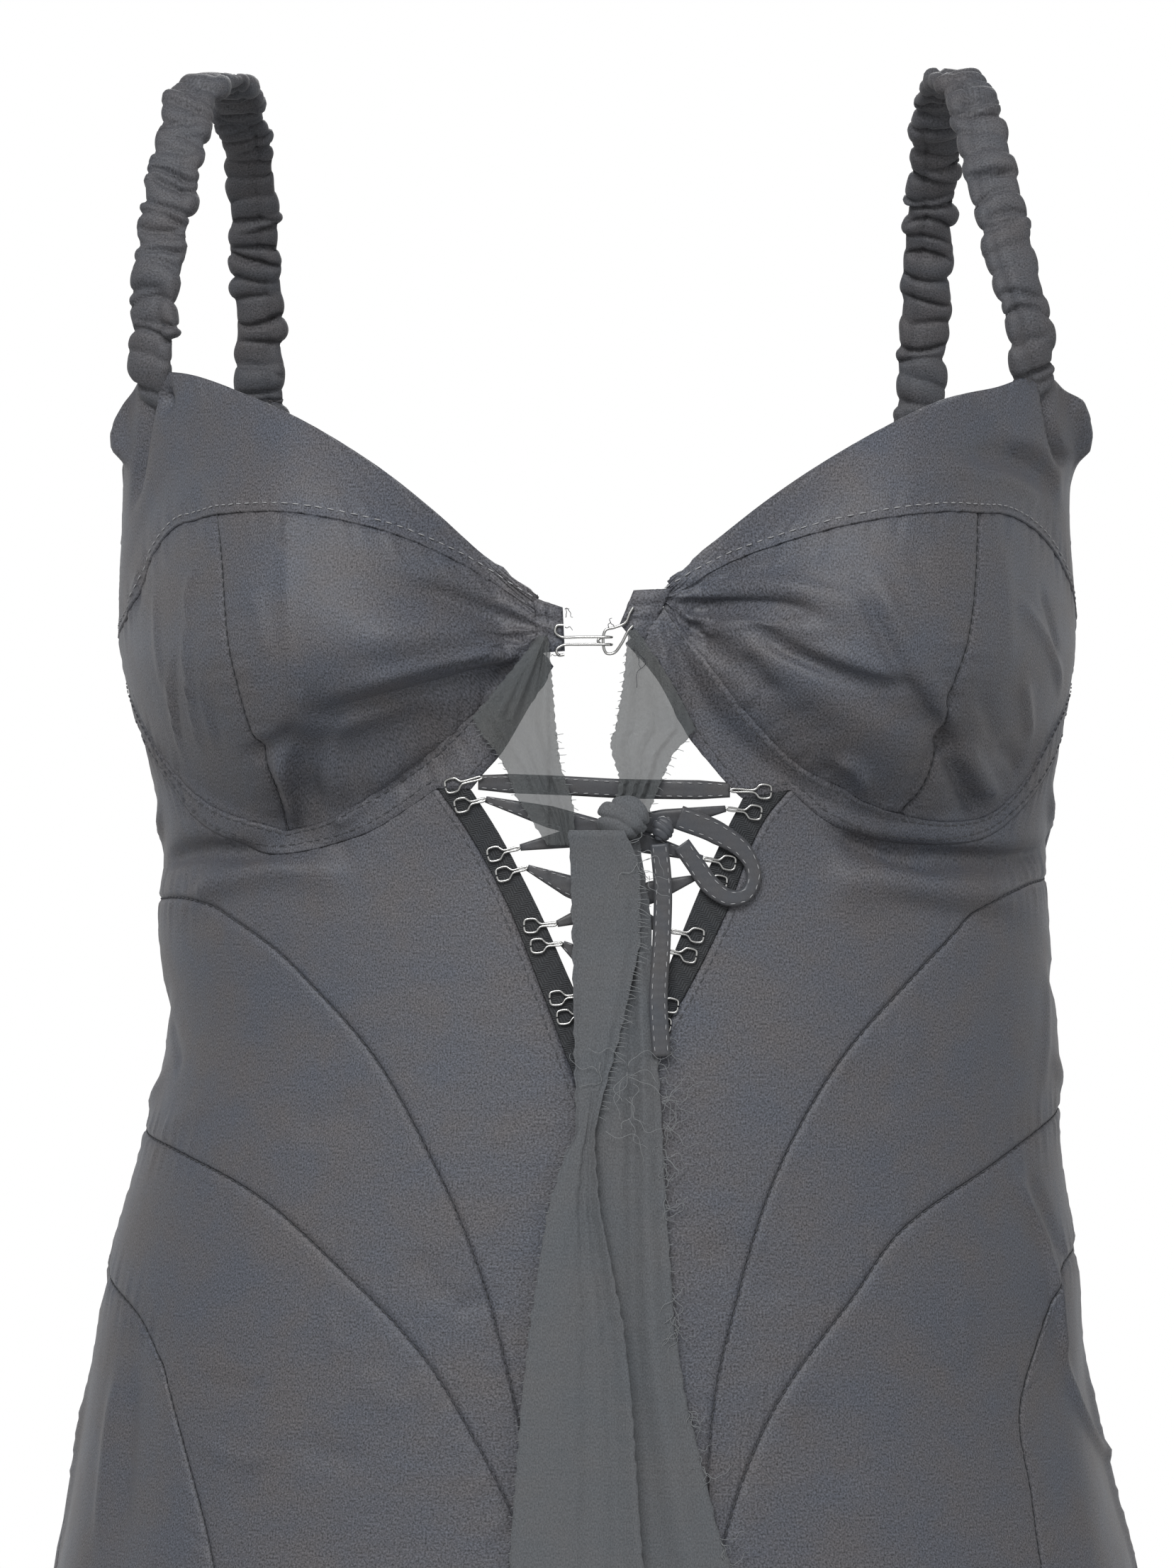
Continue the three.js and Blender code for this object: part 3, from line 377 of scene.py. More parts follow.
# Creases in the cloth: each a soft trough (height below 0) or ridge along a bent line.
# x0, z0, middle x, middle z, x1, z1, width, height
CREASES = [
    (-19.9, -191.9, -40.4, -180.2, -58.5, -174, 3.4, -1.7),
    (-22, -195, -45, -192, -75, -194, 7, 2.2),
    (-26, -194.5, -46, -198.5, -76, -206.5, 3.8, 2.8),
    (-24.2, -198.5, -48, -206.5, -88, -217.5, 4, -5.2),
    (-45, -214, -68, -224, -90, -231, 8, -5.2),
    (-38, -213, -60, -229, -74, -241, 4.5, 1.8),
    (-102.4, -228.9, -99.5, -240, -97, -250.5, 2.2, 3.4),
    (-94.5, -222, -93, -235, -90, -247, 4, -3.1),
    (-113, -228.5, -104, -226, -95, -221, 3.2, -2.8),
    (-144.7, -173.4, -144, -190, -141.7, -206.6, 1.7, 0.7),
    (-129.7, -167.7, -132, -175, -132.2, -183, 1.6, 1),
    (-131.8, -183, -133, -197, -131.5, -211.3, 1.5, 0.8),
    (-140.1, -202.3, -138.5, -216, -135.6, -229.8, 1.5, 1),
    (-136.1, -195.9, -137, -212, -136.2, -228.7, 1.4, -0.7),
    (-132, -202.6, -131.5, -214, -129.1, -226.5, 1.3, 0.8),
    (-127.7, -202.7, -126.5, -213, -124, -224.4, 1.3, 0.8),
    (-123.8, -210.4, -123, -219, -121.3, -227.7, 1.2, -0.6),
    (-97.5, -150.5, -98.5, -155, -98.4, -160, 1.5, 1.1),
    (-98.4, -160, -97.8, -184, -96.6, -207.4, 2.4, 0.7),
    (-94.9, -207.5, -93.5, -214, -92.1, -221.4, 2, 1.1),
    (-83.1, -213.9, -87, -224, -90.5, -234.3, 3, -1.7),
    (-110.4, -175, -107, -186, -104.7, -196.7, 3, 0.8),
    (-47.1, -226.7, -56, -233, -64.6, -239.7, 2.5, -1.1),
    (-85, -250.5, -79, -248.5, -73.4, -242.5, 2, 1.4),
    (-19.9, -192.8, -29, -190.5, -38.2, -188.8, 1.3, -1.3),
    (-20.4, -194.3, -28, -194.6, -36.1, -194.4, 1.2, -1),
    (-24.2, -197.1, -34, -197.3, -45.7, -199.8, 1.3, 1.1),
    (-143.4, -106, -142.5, -109, -141.4, -113.1, 3.2, -4.2),
    (-147, -103, -150, -118, -154.2, -141.8, 4, -4.2),
    (-156, -105, -158, -115, -157, -129, 5.5, 4.9),
    (-125.1, -141.2, -130, -146, -134.3, -152, 5, -1),
    (-148.3, -161.9, -150.5, -170, -152.1, -179.5, 3, -1.1),
    (-151, -166.1, -154, -175, -155, -183.7, 2, 0.8),
    (-139, -118, -125, -125, -104, -127, 8, -1.1),
    (-143.7, -265.1, -126, -260, -107.1, -261.5, 3.2, -3.1),
    (-132.7, -274.7, -114.9, -267.2, -96.2, -265, 3.2, 2.2),
    (-130, -281, -112, -273.5, -90, -270.5, 5, -1.1),
    (-141.9, -319, -139.5, -326, -137.7, -333.6, 3, -1),
    (-127.2, -344.8, -136, -349, -143.9, -355.2, 4, 0.9),
    (-44.4, -408.7, -38, -405.5, -31.1, -404.2, 2.2, -0.9),
    (-129, -432.9, -118, -434.2, -107.3, -433.9, 2.5, -0.7),
    (-128.8, -452.8, -118, -457.5, -107.1, -458.5, 2, 1.1),
    (-107.1, -458.8, -112, -466, -116.2, -473.9, 3, -0.8),
    (-158.6, -435.5, -162, -460, -164.2, -488, 4, 1.5),
    (-151.7, -434.4, -154, -460, -155.7, -486.6, 4, -1.6),
    (-86.2, -408.1, -84.5, -415, -83.1, -422.7, 2, 0.6),
    (-95, -450.9, -84, -454.5, -74, -456, 4, -0.7),
    (-74.5, -343, -85, -347, -95.8, -349.4, 6, -0.6),
    (-56.4, -389.9, -52, -398, -47.4, -405.9, 4, -0.5),
    (-74.1, -429.8, -68, -435.5, -62.1, -441.2, 4, 0.6),
    (29.1, -181, 48.9, -179.4, 72.2, -183.9, 3.4, -3.1),
    (31, -175.5, 50, -173.5, 70, -175, 3.5, 1.4),
    (38, -188, 55, -186, 75, -189.5, 3.5, 2.2),
    (34, -188.9, 50, -187, 65.8, -185.1, 1.3, 0.8),
    (31.8, -185.4, 34.5, -188.5, 38.2, -190.9, 1.3, -1.4),
    (29.5, -183, 35, -184.5, 40, -184.2, 1.2, 1.3),
    (56.3, -191.3, 80.7, -202.2, 102.5, -207.4, 2.4, -2.8),
    (58, -187.5, 81, -198, 100, -203.5, 3.2, 2.1),
    (48.9, -196.5, 53, -204, 59.5, -209.5, 3, -1.8),
    (41, -199, 47, -203, 52, -212, 3, 1.1),
    (87.2, -174.2, 96.9, -197.8, 115.4, -223.4, 2.6, -2.1),
    (92, -172, 102, -194, 117, -217, 3.2, 1.7),
    (113.2, -224.5, 106, -238, 101.3, -249.6, 3, -2),
    (115.5, -226, 120, -236, 128, -247, 2.6, -2.8),
    (120, -225, 127, -234, 134, -244, 4, 3.4),
    (133.3, -225.5, 138.5, -228.5, 142.9, -233.1, 3, -1.7),
    (118.2, -208.3, 116.5, -211, 115.5, -213.7, 2, -1.7),
    (113.5, -221.5, 115.2, -224, 116.5, -226.5, 2.2, -3.5),
    (79.3, -230, 86.6, -234.4, 89.8, -241, 2.2, 2.1),
    (74, -232, 80, -238, 84, -243, 3, -1.4),
    (140.8, -178.3, 151.1, -191, 157.5, -206.1, 2.4, 1.3),
    (148.7, -173.3, 152.5, -184, 155.4, -195.1, 2, -1.1),
    (133.8, -158.7, 135.8, -178, 135.7, -196.1, 4, 0.8),
    (142.2, -204.6, 144.5, -214, 146, -223.1, 2.5, 1.3),
    (126.3, -207.1, 129, -215, 133.2, -223.3, 3, -1.1),
    (102.7, -159.9, 105.5, -167, 109.1, -175.1, 4, -0.7),
    (66, -212.8, 70, -218, 74.8, -223.5, 5, -0.8),
    (70.2, -170.9, 79, -173, 87.2, -175.3, 2.5, -0.8),
    (120.6, -130.3, 137.6, -128.6, 156.9, -140.7, 5, -2.5),
    (110.1, -135.3, 132.3, -136.4, 149.9, -142.7, 3.6, 2),
    (136.7, -122.3, 150, -128, 158.3, -142.8, 5, 2),
    (150.5, -104, 153, -118, 160.5, -129, 2.6, -3.9),
    (160, -106, 164, -114, 165, -127, 5, 4.9),
    (76.8, -251.7, 90, -259, 116, -266.1, 2.6, -3.1),
    (89, -258.1, 116, -262.6, 153.1, -260.2, 3.4, -3.6),
    (85, -265, 110, -271, 140, -272.5, 4.5, 2.2),
    (95.3, -275, 120, -281, 141, -281, 4.5, -1.4),
    (141.1, -369.3, 148, -383, 153.3, -397.4, 2.6, 1.6),
    (146, -368, 152, -382, 158, -396, 4, -1.6),
    (153.3, -397.4, 156, -415, 157.4, -429.7, 2.8, 2.2),
    (157.4, -429.7, 164, -449, 174.7, -467.4, 3, 2.2),
    (135.9, -305.6, 135.8, -322, 134.8, -338.8, 5, -0.7),
    (153.5, -303.6, 153, -322, 151, -339.9, 4, 0.8),
    (36.3, -385.2, 48, -394, 63, -404.6, 6, -0.7),
    (81.3, -331.2, 90, -337, 99.5, -343.5, 6, -0.6),
    (120.7, -402.1, 122, -413, 123.6, -424.5, 2.5, 0.6),
    (68.8, -437, 77, -452, 86.6, -466.7, 6, -0.8),
    (102.7, -310.8, 104, -320, 105.7, -328.7, 5, 0.5),
    (51, -429.3, 60, -436, 68.8, -444.3, 5, 0.5),
    (126.7, -432.2, 131, -443, 136, -455, 5, 0.6),
    (-118, -520, -126, -590, -137, -660, 8, 1.5),
    (-62, -540, -70, -620, -82, -710, 9, -1.3),
    (-20, -560, -22, -640, -27, -720, 7, 1.1),
    (52, -530, 60, -600, 70, -680, 8, -1.4),
    (112, -550, 121, -640, 130, -720, 9, 1.5),
    (150, -600, 158, -680, 166, -770, 8, -1.4),
]
# The same on the sides and the back, by degrees round the body: turn, z, middle, end, width, height
SIDE_AND_BACK_CREASES = [
    (84, -215, 92, -232, 103, -245, 4, -2.2),
    (80, -240, 90, -252, 104, -256, 4, 2.2),
    (78, -300, 90, -306, 103, -300, 5, -1.6),
    (76, -330, 92, -338, 106, -330, 5, 1.6),
    (82, -395, 93, -402, 105, -395, 4.5, -1.8),
    (86, -430, 88, -470, 92, -520, 5, 2.6),
    (97, -425, 100, -470, 102, -520, 5, -2.1),
    (278, -220, 268, -235, 256, -246, 4, -2.4),
    (280, -245, 270, -256, 257, -258, 4, 2.1),
    (283, -308, 270, -314, 258, -306, 5, -1.4),
    (282, -338, 268, -345, 255, -336, 5, 1.8),
    (279, -405, 268, -411, 256, -402, 4.5, -1.6),
    (274, -440, 270, -480, 268, -530, 5, 2.4),
    (262, -432, 258, -476, 256, -526, 5, -1.9),
    (100, -262, 118, -268, 136, -262, 4, -2.9),
    (98, -275, 115, -283, 134, -279, 4.5, 2.2),
    (105, -300, 125, -310, 150, -330, 5, -2.1),
    (262, -258, 245, -266, 228, -262, 4, -3),
    (264, -272, 247, -281, 230, -276, 4, 2.4),
    (258, -300, 240, -312, 215, -335, 5, -1.9),
    (110, -352, 130, -359, 152, -352, 5, 2.2),
    (208, -355, 228, -363, 248, -352, 5, 2.1),
    (118, -372, 140, -381, 162, -378, 5, -2.6),
    (200, -378, 222, -384, 244, -371, 5, -2.4),
    (146, -398, 168, -407, 190, -400, 6, 1.9),
    (172, -420, 190, -428, 212, -421, 5, -1.6),
    (120, -450, 118, -500, 114, -560, 6, 2.7),
    (240, -455, 243, -505, 247, -570, 6, 2.6),
    (152, -470, 150, -540, 146, -620, 8, -2.6),
    (170, -480, 172, -550, 174, -640, 7, 2.2),
    (206, -470, 209, -540, 212, -610, 7, -2.4),
    (104, -590, 106, -680, 108, -790, 9, -2.6),
    (256, -600, 254, -690, 252, -800, 9, -2.4),
    (132, -640, 130, -730, 128, -830, 9, 2.7),
    (226, -650, 229, -740, 232, -850, 9, 2.6),
    (186, -660, 188, -760, 190, -880, 10, -2.4),
]
# Shares of a crease's length: at full height to each side of its middle, over which it then fades, and
# over which it bends on past its ends
CREASE_FULL, CREASE_FADE, CREASE_PAST = 0.28, 0.2, 0.2
CREASE_LINES = [
    (*(np.array(flat_point(row[k:k + 2])) for k in (0, 2, 4)), *row[6:]) for row in CREASES
] + [
    (*(np.array(flat_point(at_turn(*row[k:k + 2]))) for k in (0, 2, 4)), *row[6:])
    for row in SIDE_AND_BACK_CREASES
]


def crease_height(flat):
    height = np.zeros(flat.shape[:-1])
    lowest, highest = flat[..., 0].min(), flat[..., 0].max()
    for a, middle, b, width, rise in CREASE_LINES:
        length = np.linalg.norm(b - a)
        ahead = (b - a) / length
        side = np.array([-ahead[1], ahead[0]])
        bend = (middle - (a + b) / 2) @ side
        for shift in (-360 * TURN_MM, 0, 360 * TURN_MM):
            if not lowest - length < middle[0] + shift < highest + length:
                continue
            away = flat - a - (shift, 0)
            t = away @ ahead / length
            inside = np.clip(t, -CREASE_PAST, 1 + CREASE_PAST)
            offset = away @ side - bend * 4 * inside * (1 - inside)
            fade = np.exp(-((np.maximum(np.abs(t - 0.5) - CREASE_FULL, 0) / CREASE_FADE) ** 2))
            height += rise * fade * np.exp(-((offset / width) ** 2))
    return height


# The waves of cloth that its stitching draws up: height, length, shift
RIPPLES = [(0.5, 7.1, 1.7), (0.3, 4.3, 4.1), (0.3, 11.3, 2.9)]
# How far in an edge rolls under, and where its pucker is highest
EDGE_ROLL, PUCKER_AT = 1.1, 3


def ripple(distance, seed):
    return sum(
        rise * np.sin(2 * math.pi * distance / pitch + seed * shift) for rise, pitch, shift in RIPPLES
    )


def walled(piece, thickness):
    """Gives cloth its thickness, towards the inside."""
    wall = piece.modifiers.new("wall", "SOLIDIFY")
    wall.thickness = thickness * MM
    wall.offset = -1
    return piece


def shell_object(name, points, uv, faces_out, material, thickness):
    """A thin shell of cloth through a grid of points in mm, with its wall on the inside."""
    rows, columns = points.shape[:2]
    bm = bmesh.new()
    bmesh.ops.create_grid(bm, x_segments=columns - 1, y_segments=rows - 1, size=0.5, calc_uvs=False)
    bm.verts.ensure_lookup_table()
    order = np.array([v.co[:2] for v in bm.verts])
    column = np.rint((order[:, 0] + 0.5) * (columns - 1)).astype(int)
    row = np.rint((order[:, 1] + 0.5) * (rows - 1)).astype(int)
    for vertex, i, k in zip(bm.verts, row, column):
        vertex.co = Vector(points[i, k]) * MM
    bm.normal_update()
    middle = min(bm.faces, key=lambda f: (f.calc_center_median() / MM - Vector(faces_out[0])).length)
    if middle.normal.dot(Vector(faces_out[1])) < 0:
        bmesh.ops.reverse_faces(bm, faces=bm.faces)
    layer = bm.loops.layers.uv.new("cloth")
    where = {v.index: (i, k) for v, i, k in zip(bm.verts, row, column)}
    for face in bm.faces:
        face.smooth = True
        for loop in face.loops:
            i, k = where[loop.vert.index]
            loop[layer].uv = uv[i, k] * MM
    return walled(built(name, bm, material), thickness)


def panel(name, top, bottom, material, size, start=None, end=None, lift=0, sink=(0.9, 0.9, 0.9, 0.9),
          pucker=0.35, thickness=SATIN, seed=0):
    """A cut piece of cloth on the dress, between four seam lines, drawn in along its stitching. It sinks
    at its start, end, top and bottom by sink, or stands proud there where that is below 0."""
    lengths = [np.linalg.norm(np.diff(side, axis=0), axis=1).sum() for side in (top, bottom)]
    width = np.linalg.norm(resample(top, np.array([0.5])) - resample(bottom, np.array([0.5])))
    along = close_to_ends(size[0], sum(lengths) / 2)
    across = close_to_ends(size[1], max(width, 8))
    flat = flat_patch(top, bottom, start, end, along, across)
    from_start, from_top = distances_along(flat, 0), distances_along(flat, 1)
    from_end, from_bottom = distances_along(flat[::-1], 0)[::-1], distances_along(flat[:, ::-1], 1)[:, ::-1]
    sides = [(from_start, from_top), (from_end, from_top), (from_top, from_start), (from_bottom, from_start)]
    relief = lift + crease_height(flat)
    for k, (away, along_side) in enumerate(sides):
        relief = relief - sink[k] * np.exp(-((away / EDGE_ROLL) ** 2))
        drawn = (away / PUCKER_AT) * np.exp(1 - away / PUCKER_AT)
        relief = relief + pucker * drawn * ripple(along_side, seed + 3 * k)
    turn, z = flat[..., 0] / TURN_MM, flat[..., 1]
    points = body_point(turn, z) + body_normal(turn, z) * relief[..., None]
    i, k = len(along) // 2, len(across) // 2
    facing = (points[i, k], body_normal(turn[i, k], z[i, k]))
    return shell_object(name, points, flat, facing, material, thickness)


# The seams of each half of the front, as points of x and z from its side to the middle. "side" is in
# degrees round the body, and "cup_z" and "gore_z" are the levels at which seams meet the side seam.
LEFT = {
    "hand": "left",
    "side": -90,
    "cup_z": -188,
    "gore_z": (-277, -355, -400),
    "edge": [
        at_turn(-81, -118), (-153, -101.5), (-147, -100), (-131, -102.5), (-100, -116),
        (-73, -132), (-51, -149), (-30, -168), (-17.5, -176.5),
    ],
    "cup_seam_side": [(-155, -179), (-147, -162), (-138, -152), (-123, -148.5)],
    "cup_seam_front": [(-97, -149), (-67, -155), (-51, -161), (-37, -168), (-16.2, -181)],
    "wire_side": [(-151, -219), (-139, -236), (-127, -246), (-100, -254.5)],
    "wire_front": [(-87, -251), (-64, -238), (-51, -229), (-37, -215), (-24, -203), (-15.5, -194.5)],
    "dart": [(-120.5, -169), (-117, -199), (-112, -219), (-104, -238)],
    "under": [(-144, -234), (-133, -248), (-116, -257.5), (-102, -260), (-75, -253.5), (-62, -246)],
    "corner": (-51, -238.5),
    "inner": (-40, -239),
    "free": [(-36.6, -234.5), (-30.5, -227.5), (-22, -213), (-14, -199.5)],
    "window": [(-42, -251), (-27, -278), (-15.5, -307), (-9.5, -323)],
    "tape": [(-31.6, -252), (-17.5, -278.5), (-7, -302)],
    "petal_top": [
        (-130, -277.5), (-107, -290.5), (-90, -306), (-68.6, -330.5), (-50.5, -363), (-37, -394),
        (-25, -436.5),
    ],
    "petals": (-14.5, -488),
    "petal_under": [(-137, -360.5), (-108, -374), (-77, -400), (-54.7, -423), (-37, -451), (-26.6, -471)],
    "joint": (-14, -500),
    "joint_end": [(-22, -600), (-36, -760), (-58, HEM_Z)],
    "hip_top": [(-152, -414), (-142, -430)],
    "hip_front": [(-133.5, -457.5), (-123.5, -493), (-115, -545)],
    "hip_end": [(-109, -640), (-130, HEM_Z)],
}
RIGHT = {
    "hand": "right",
    "side": 90,
    "cup_z": -182,
    "gore_z": (-270, -347, -394),
    "edge": [
        at_turn(81, -118), (156, -102), (147, -101.5), (135, -106), (116, -111),
        (93, -122.5), (60, -143), (41.5, -157.5), (25, -172.5),
    ],
    "cup_seam_side": [(160.5, -167), (150, -154), (137, -148), (127, -148)],
    "cup_seam_front": [(114, -148.3), (81, -153.5), (51, -162.3), (38, -168), (23.7, -176.3)],
    "wire_side": [(155.5, -220), (142, -241), (131, -249.5), (116, -251.5), (101, -249.6)],
    "wire_front": [(86.5, -244), (66.5, -233), (49, -216), (37.5, -201), (29, -189), (23.2, -179.2)],
    "dart": [(125.8, -166), (122, -193), (116, -210.5), (114.5, -224), (108, -241)],
    "under": [(149.5, -239), (133.5, -253.5), (122, -257), (105, -257.5), (89, -254.5), (76, -248.5)],
    "corner": (65, -239),
    "inner": (49.5, -242),
    "free": [(45.5, -238), (32.6, -222), (22, -203), (12.3, -191.8)],
    "window": [(56, -250), (44, -279), (31, -305), (20, -323)],
    "tape": [(44, -253), (35, -272.5), (21.4, -305.5)],
    "petal_top": [
        (145, -272), (128, -280.5), (97, -310), (78, -332.5), (57, -372), (43.6, -417.5), (38, -451),
    ],
    "petals": (37, -488),
    "petal_under": [(151, -353), (134, -363), (102, -383), (84, -406), (61.5, -435.5), (48, -464)],
    "joint": (37.5, -500),
    "joint_end": [(44, -600), (58, -760), (82, HEM_Z)],
    "hip_top": [(158, -399), (150.5, -416.5)],
    "hip_front": [(141.5, -446), (145, -470.5), (148, -495), (148, -545)],
    "hip_end": [(144, -640), (160, HEM_Z)],
}
# Levels at the side seam, and points on the centre line, that both halves share
SIDE_Z = {"armhole": -150, "wire": -203, "under": -213, "hip": -545}
CENTRE = {"apex": (6, -356), "petals": (11, -488), "joint": (11, -500), "end": (12, HEM_Z)}
TAPE_APEX = (9, -334)
# Stations in each of a seam's steps
FINER = 6


class Seams:
    """The seam lines of one half of the front, each with the stations that its neighbours share."""

    def __init__(self, half):
        def on_side(z):
            return at_turn(half["side"], z)

        petal_z, under_z, hip_z = half["gore_z"]
        self.edge = line([on_side(SIDE_Z["armhole"]), *half["edge"]], 16 * FINER)
        self.seam_side = line([on_side(half["cup_z"]), *half["cup_seam_side"]], 6 * FINER)
        self.seam_front = line([half["cup_seam_side"][-1], *half["cup_seam_front"]], 10 * FINER)
        self.wire_side = line([on_side(SIDE_Z["wire"]), *half["wire_side"]], 6 * FINER)
        self.wire_front = line([half["wire_side"][-1], *half["wire_front"]], 10 * FINER)
        dart = [half["cup_seam_side"][-1], *half["dart"], half["wire_side"][-1]]
        self.dart = line(dart, 8 * FINER)
        self.under = line([on_side(SIDE_Z["under"]), *half["under"], half["corner"]], 11 * FINER)
        ledge = line([half["corner"], half["inner"]], FINER)
        self.free = joined(ledge, line([half["inner"], *half["free"]], 4 * FINER))
        self.window = line([half["corner"], *half["window"], CENTRE["apex"]], 6 * FINER)
        self.tape = line([half["inner"], *half["tape"], TAPE_APEX], 6 * FINER)
        self.centre = joined(
            line([CENTRE["apex"], (8, -420), CENTRE["petals"]], 5 * FINER),
            line([CENTRE["petals"], CENTRE["joint"]], FINER),
            line([CENTRE["joint"], (12, -700), CENTRE["end"]], 7 * FINER),
        )
        self.petal_top = line([on_side(petal_z), *half["petal_top"], half["petals"]], 22 * FINER)
        self.petal_under = line([on_side(under_z), *half["petal_under"], half["joint"]], 22 * FINER)
        self.petal_end = line([half["petals"], half["joint"]], FINER)
        self.joint = line([half["joint"], *half["joint_end"]], 7 * FINER)
        self.hip_top = line([on_side(hip_z), *half["hip_top"]], 8 * FINER)
        self.hip_front = line([half["hip_top"][-1], *half["hip_front"]], 14 * FINER)
        self.hip_end = line([half["hip_front"][-1], *half["hip_end"]], 7 * FINER)
        self.side = joined(
            line([on_side(hip_z), on_side(SIDE_Z["hip"])], 14 * FINER),
            line([on_side(SIDE_Z["hip"]), on_side(HEM_Z)], 7 * FINER),
        )


SEAMS = {half["hand"]: Seams(half) for half in (LEFT, RIGHT)}


# Noise on the cloth, per metre: its patches of tint, its crumples, and its yarns across and along
MOTTLE_SCALE, CRUMPLE_SCALE = 38, 110
YARN_SCALE = (2300, 1400, 1)


def arithmetic(tree, operation, *values):
    made = node(tree, "ShaderNodeMath", operation=operation)
    for socket, value in zip(made.inputs, values):
        feed(tree, socket, value)
    return made.outputs[0]


def cloth_paint(name, cool, warm, roughness, grain, weave, crumple, sheen, pitch=0.45):
    """Woven cloth: mottled between a cool and a warm tint, with a grain of uneven yarns."""
    made = new_paint(name, Sheen_Weight=sheen, Sheen_Roughness=0.45, Specular_IOR_Level=0.3)
    tree = made.node_tree
    uv = node(tree, "ShaderNodeUVMap", uv_map="cloth").outputs[0]
    mottle = node(tree, "ShaderNodeTexNoise", Vector=uv, Scale=MOTTLE_SCALE, Detail=5, Roughness=0.62)
    mottle = mottle.outputs["Fac"]
    yarns = node(tree, "ShaderNodeMapping", Vector=uv, Scale=YARN_SCALE).outputs[0]
    slub = node(tree, "ShaderNodeTexNoise", Vector=yarns, Scale=1, Detail=3, Roughness=0.6).outputs["Fac"]
    sharper = node(tree, "ShaderNodeMapRange", Value=mottle, From_Min=0.36, From_Max=0.64)
    tint = node(tree, "ShaderNodeMix", data_type="RGBA", Factor=sharper.outputs["Result"], A=(*cool, 1),
                B=(*warm, 1))
    shade = node(tree, "ShaderNodeMapRange", Value=slub, From_Min=0.3, From_Max=0.7, To_Min=1 - grain,
                 To_Max=1 + grain)
    colour = node(tree, "ShaderNodeMix", data_type="RGBA", blend_type="MULTIPLY", Factor=1,
                  A=tint.outputs["Result"], B=shade.outputs["Result"])
    gloss = node(tree, "ShaderNodeMapRange", Value=mottle, To_Min=roughness - 0.06, To_Max=roughness + 0.08)
    bands = [
        node(tree, "ShaderNodeTexWave", wave_type="BANDS", bands_direction=direction, Vector=uv,
             Scale=1 / (pitch * MM) / 20, Distortion=1.5, Detail=1).outputs["Fac"]
        for direction in ("X", "Y")
    ]
    woven = arithmetic(tree, "ADD", *bands)
    fine = node(tree, "ShaderNodeBump", Height=woven, Strength=weave, Distance=0.00012)
    rough = node(tree, "ShaderNodeBump", Height=slub, Strength=grain * 3, Distance=0.0001,
                 Normal=fine.outputs[0])
    crumpling = node(tree, "ShaderNodeTexNoise", Vector=uv, Scale=CRUMPLE_SCALE, Detail=2, Roughness=0.5)
    soft = node(tree, "ShaderNodeBump", Height=crumpling.outputs["Fac"], Strength=crumple,
                Distance=0.0012, Normal=rough.outputs[0])
    set_up(tree, tree.nodes["Principled BSDF"], Base_Color=colour.outputs["Result"],
           Roughness=gloss.outputs["Result"], Normal=soft.outputs[0])
    return made


satin_paint = cloth_paint("satin_paint", (0.058, 0.063, 0.077), (0.069, 0.066, 0.07), 0.47, 0.78, 0.06,
                          0.3, 0.03)


def place(piece, slot, *nodes):
    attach(piece, "root")
    if nodes:
        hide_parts(*nodes)
    return piece


# Seeds for the pucker ripples of each hand's cup panels
CUP_SEEDS = {"left": 1, "right": 31}
LAP = 1.1
# Which side of a seam's stations is up
UP = {"left": 1, "right": -1}
for hand, seams in SEAMS.items():
    seed = CUP_SEEDS[hand]
    band_seam = joined(seams.seam_side, seams.seam_front)
    lapped = beside(band_seam, -LAP * UP[hand])
    upper = panel(f"satin_cup_top_{hand}", seams.edge, lapped, size=(130, 36), material=satin_paint,
                  seed=seed, sink=(0.6, 0.4, 0.5, -0.45))
    outer = panel(f"satin_cup_outer_{hand}", seams.seam_side, seams.wire_side, end=seams.dart,
                  size=(56, 80), material=satin_paint, seed=seed + 12, sink=(0.6, 0.8, 1.3, 0.8))
    inner = panel(f"satin_cup_inner_{hand}", seams.seam_front, seams.wire_front, start=seams.dart,
                  size=(100, 84), material=satin_paint, seed=seed + 24, sink=(0.8, 0.6, 1.3, 0.8))
    for part, piece in (("top", upper), ("outer", outer), ("inner", inner)):
        place(piece, "satin", f"cup_{part}_{hand}")

# Seam stitches: a dark polyester thread. Each stitch is a short bead along the seam, and the top
# stitching on the cup's band runs on its own a little above the seam.
STITCH_LENGTH = 2.5
STITCH_RADIUS = 0.24
# The line that a stitch follows is taken this far ahead of its middle
STITCH_AHEAD = 0.6


def thread_material(name, dark, light):
    made = new_paint(name, Roughness=0.7)
    tree = made.node_tree
    at = node(tree, "ShaderNodeTexCoord")
    fuzz = node(tree, "ShaderNodeTexNoise", Vector=at.outputs["Object"], Scale=2500, Detail=3)
    tint = node(tree, "ShaderNodeValToRGB", Fac=fuzz.outputs["Fac"])
    for stop, colour in zip(tint.color_ramp.elements, (dark, light)):
        stop.color = (*colour, 1)
    set_up(tree, tree.nodes["Principled BSDF"], Base_Color=tint.outputs["Color"])
    return made


thread_paint = thread_material("thread_paint", (0.02, 0.021, 0.025), (0.06, 0.062, 0.068))
light_thread_paint = thread_material("light_thread_paint", (0.17, 0.175, 0.18), (0.3, 0.3, 0.31))


def bead_mesh():
    """One stitch, a millimetre long and thick, which stitching() stretches along the seam."""
    bm = bmesh.new()
    bmesh.ops.create_uvsphere(bm, u_segments=6, v_segments=4, radius=0.5,
                              matrix=Matrix.Rotation(math.pi / 2, 4, "Y"))
    vertices = np.array([v.co for v in bm.verts])
    faces = [[v.index for v in face.verts] for face in bm.faces]
    bm.free()
    return vertices, faces


BEAD, BEAD_FACES = bead_mesh()


